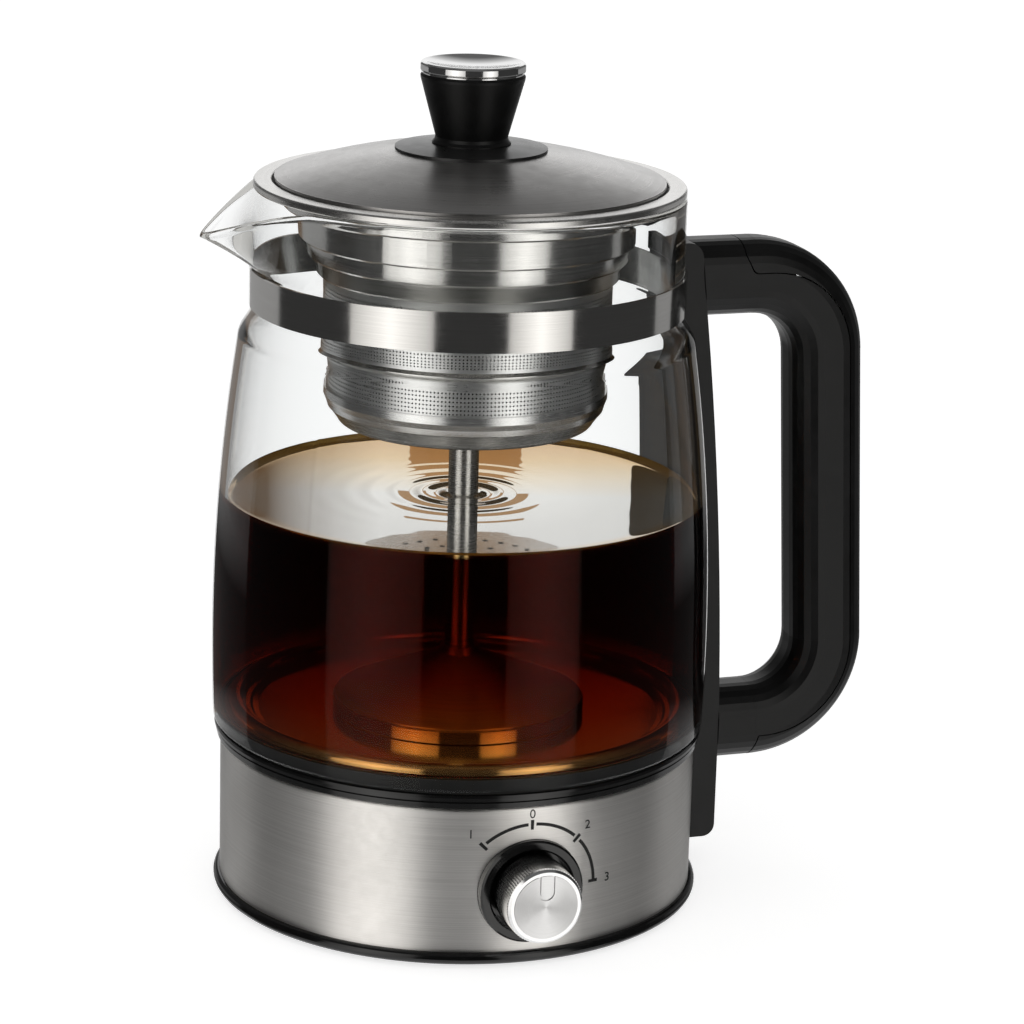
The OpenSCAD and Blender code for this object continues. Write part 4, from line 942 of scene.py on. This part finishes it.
def digit(text, across, up):
    """One upright digit of ink, made flat and then laid on the shell's curve."""
    curve = bpy.data.curves.new("digit", "FONT")
    curve.body = text
    curve.size = DIGIT_HEIGHT / DIGIT_SHARE
    curve.extrude = INK_DEPTH / 2
    curve.align_x = "CENTER"
    curve.align_y = "CENTER"
    drawn = bpy.data.objects.new("digit", curve)
    bpy.context.scene.collection.objects.link(drawn)
    view = bpy.context.evaluated_depsgraph_get()
    mesh = bpy.data.meshes.new_from_object(drawn.evaluated_get(view))
    bpy.data.objects.remove(drawn)
    flat = np.zeros(len(mesh.vertices) * 3, np.float32)
    mesh.vertices.foreach_get("co", flat)
    flat = flat.reshape(-1, 3).astype(float)
    bent = on_shell(flat[:, 0] + across, flat[:, 1] + up, INK_DEPTH / 2 + flat[:, 2])
    mesh.vertices.foreach_set("co", bent.astype(np.float32).ravel())
    mesh.materials.clear()
    mesh.materials.append(SCALE_INK)
    mesh.update()
    obj = bpy.data.objects.new(f"scale_digit_{text}", mesh)
    bpy.context.scene.collection.objects.link(obj)
    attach(obj, "pot")


# Studio
def hide_from(obj, *rays):
    """Keeps a stage object out of the named kinds of ray."""
    for ray in rays:
        setattr(obj, "visible_" + ray, False)


def stage_mesh(name, points, faces, material):
    """Mesh that belongs to the studio and not to the object."""
    mesh = bpy.data.meshes.new(name)
    mesh.from_pydata(points.tolist(), [], faces.tolist())
    mesh.materials.append(material)
    obj = bpy.data.objects.new(name, mesh)
    bpy.context.scene.collection.objects.link(obj)
    return obj


def show(tree, shader, mirrored):
    """Shows a shader to light's own rays, and to mirrored rays only or to all but those."""
    seen = maths(tree, "MAXIMUM", chosen_ray(tree, mirrored), lighting_ray(tree))
    put_out(tree, blend(tree, seen, see_through(tree), shader))


def glow(tree, strength, colour=WHITE):
    """Shader that shines by itself."""
    return new(tree, "Emission", {"Color": colour, "Strength": strength})


def pale_floor():
    """Pale floor that looks white in the open and keeps the soft shadow of the object."""
    material, tree, shader, _ = finish(
        "pale_floor", Base_Color=(0.8, 0.8, 0.8, 1), Roughness=0.9, Specular_IOR_Level=0.0
    )
    shine = glow(tree, maths(tree, "MULTIPLY", seen_ray(tree), FLOOR_GLOW))
    both = new(tree, "AddShader", {0: shader.outputs[0], 1: shine.outputs[0]})
    show(tree, both, mirrored=False)
    corner = np.array([[-1, -1], [1, -1], [1, 1], [-1, 1]]) * FLOOR_HALF
    points = np.column_stack([corner, np.full(4, -FLOOR_DROP)])
    stage_mesh("pale_floor", points, np.array([[0, 1, 2, 3]]), material)


def white_world():
    """White backdrop for what is seen, darker overhead, and an even dim light for the object."""
    world = bpy.data.worlds.new("studio")
    bpy.context.scene.world = world
    world.use_nodes = True
    tree = world.node_tree
    rise = separate(tree, new(tree, "TexCoord").outputs["Generated"])[2]
    level = spread(tree, rise, math.sin(CLEAR_BELOW), math.sin(DARK_ABOVE), 1.0, OVERHEAD)
    seen = new(tree, "Background", {"Color": WHITE, "Strength": level})
    light = new(tree, "Background", {"Color": WHITE, "Strength": WORLD_LIGHT})
    both = blend(tree, seen_ray(tree), light, seen)
    tree.links.new(both.outputs[0], tree.nodes["World Output"].inputs["Surface"])


def bearing(degrees):
    """Angle about Z of a direction that is given in degrees from the camera's."""
    return CAMERA_TURN - math.pi / 2 + np.radians(degrees)


def beside(tree, place, degrees):
    """Distance of a place to the side of a direction that is given in degrees from the camera's."""
    part = separate(tree, place)
    turn = bearing(degrees)
    sideways = maths(tree, "MULTIPLY", part[0], -math.sin(turn))
    return maths(tree, "MULTIPLY_ADD", part[1], math.cos(turn), sideways)


def curved_card(name, start, stop, radius, z0, z1, material):
    """Upright card bent round the object between two angles from the camera's direction, in degrees."""
    turn = bearing(np.linspace(start, stop, CARD_COLS))
    points = around(np.full(CARD_ROWS, radius), np.linspace(z0, z1, CARD_ROWS), turn).reshape(-1, 3)
    return stage_mesh(name, points, grid_faces(CARD_ROWS, CARD_COLS), material)


def surround(name, start, stop, by_base, by_coffee, by_band, by_dome):
    """Studio wall between two angles, seen only mirrored, with a grey for each height of the object.

    The lower a place of the object, the lower is the part of the wall that it mirrors to the camera.
    """
    material, tree, _, place = finish(name)
    height = separate(tree, place)[2]
    lower = spread(tree, height, *BASE_TO_COFFEE, by_base, by_coffee)
    upper = spread(tree, height, *COFFEE_TO_BAND, 0, by_band - by_coffee)
    crown = spread(tree, height, *BAND_TO_DOME, 0, by_dome - by_band)
    strength = maths(tree, "ADD", crown, maths(tree, "ADD", lower, upper))
    show(tree, glow(tree, strength), mirrored=True)
    wall = curved_card(name, start, stop, WALL_DISTANCE, CARD_LOW, CARD_HIGH, material)
    hide_from(wall, "camera", "diffuse", "shadow", "volume_scatter")


def dark_flag(
    name, start, stop, shade, mirrored=True, z0=CARD_LOW, z1=CARD_HIGH, soft=0.0, radius=FLAG_DISTANCE
):
    """Dark card behind the object, seen only through glass, that draws a dark band in the glass or coffee.

    It fades in over a soft distance from the edge at its first angle.
    """
    material, tree, _, place = finish(name)
    path = new(tree, "LightPath").outputs
    through = maths(tree, "GREATER_THAN", path["Transmission Depth"], 0.5)
    seen = maths(tree, "MULTIPLY", through, chosen_ray(tree, mirrored))
    faded = spread(tree, beside(tree, place, start), 0, soft + HARD_EDGE, 0, 1)
    dark = glow(tree, 1.0, (*shade, 1))
    put_out(tree, blend(tree, maths(tree, "MULTIPLY", seen, faded), see_through(tree), dark))
    flag = curved_card(name, start, stop, radius, z0, z1, material)
    hide_from(flag, "camera", "diffuse", "shadow", "volume_scatter")


def softbox(name, middle, width, power):
    """Tall soft light at an angle from the camera's direction, brightest along its middle."""
    material, tree, _, place = finish(name)
    edge = SOFTBOX_DISTANCE * math.sin(math.radians(width / 2))
    across = maths(tree, "ABSOLUTE", beside(tree, place, middle))
    fall = spread(tree, across, 0, edge, power, power * SOFTBOX_EDGE)
    show(tree, glow(tree, fall, (1, 0.985, 0.96, 1)), mirrored=True)
    start, stop = middle - width / 2, middle + width / 2
    box = curved_card(name, start, stop, SOFTBOX_DISTANCE, SOFTBOX_LOW, SOFTBOX_HIGH, material)
    hide_from(box, "camera")


def studio():
    """Floor, backdrop, walls, the cards behind the glass, and a soft light either side of the camera."""
    pale_floor()
    white_world()
    surround("dark_wall", -114, 114, by_base=0.14, by_coffee=0.04, by_band=0.04, by_dome=0.04)
    surround("grey_wall_left", -162, -114, by_base=0.5, by_coffee=0.06, by_band=0.34, by_dome=0.1)
    surround("grey_wall_right", 114, 162, by_base=0.5, by_coffee=0.05, by_band=0.3, by_dome=0.12)
    dark_flag(
        "flag_behind_glass", 125, 165.6, (0.05, 0.05, 0.05),
        mirrored=False, z0=0, z1=0.114, radius=NEAR_FLAG_DISTANCE,
    )
    dark_flag("flag_right_of_coffee", 125, 173.8, (0.03, 0.02, 0.01))
    dark_flag("flag_amid_coffee", 178.2, 181.7, (0.46, 0.29, 0.16), z1=0.73)
    dark_flag("flag_left_of_coffee", 182.6, 210, (0.15, 0.1, 0.065), soft=0.22)
    dark_flag("flag_above_coffee", 130, 230, (0.05, 0.035, 0.02), z0=0.87)
    softbox("softbox_left", middle=-39, width=45, power=1.6)
    softbox("softbox_right", middle=38, width=34, power=1.6)


def camera():
    """Camera at the photograph's viewing angle."""
    data = bpy.data.cameras.new("camera")
    data.sensor_width = SENSOR
    data.lens = FOCAL_PIXELS / IMAGE_PIXELS * SENSOR
    data.clip_start, data.clip_end = 0.01, 50
    ahead = Vector((
        math.sin(CAMERA_YAW) * math.cos(CAMERA_PITCH),
        math.cos(CAMERA_YAW) * math.cos(CAMERA_PITCH),
        -math.sin(CAMERA_PITCH),
    ))
    level = Vector((math.cos(CAMERA_YAW), -math.sin(CAMERA_YAW), 0))
    upright = level.cross(ahead)
    right = math.cos(CAMERA_ROLL) * level + math.sin(CAMERA_ROLL) * upright
    up = -math.sin(CAMERA_ROLL) * level + math.cos(CAMERA_ROLL) * upright
    place = Matrix.Identity(4)
    stand = Vector((0, -CAMERA_DISTANCE, CAMERA_HEIGHT))
    for column, axis in enumerate((right, up, -ahead, stand)):
        for row in range(3):
            place[row][column] = axis[row]
    obj = bpy.data.objects.new("camera", data)
    bpy.context.scene.collection.objects.link(obj)
    obj.matrix_world = Matrix.Rotation(CAMERA_TURN, 4, "Z") @ place
    bpy.context.scene.camera = obj


carafe_glass()
coffee()
basket_walls()
dial_scale()
studio()
camera()
bpy.context.scene.view_settings.view_transform = "Standard"
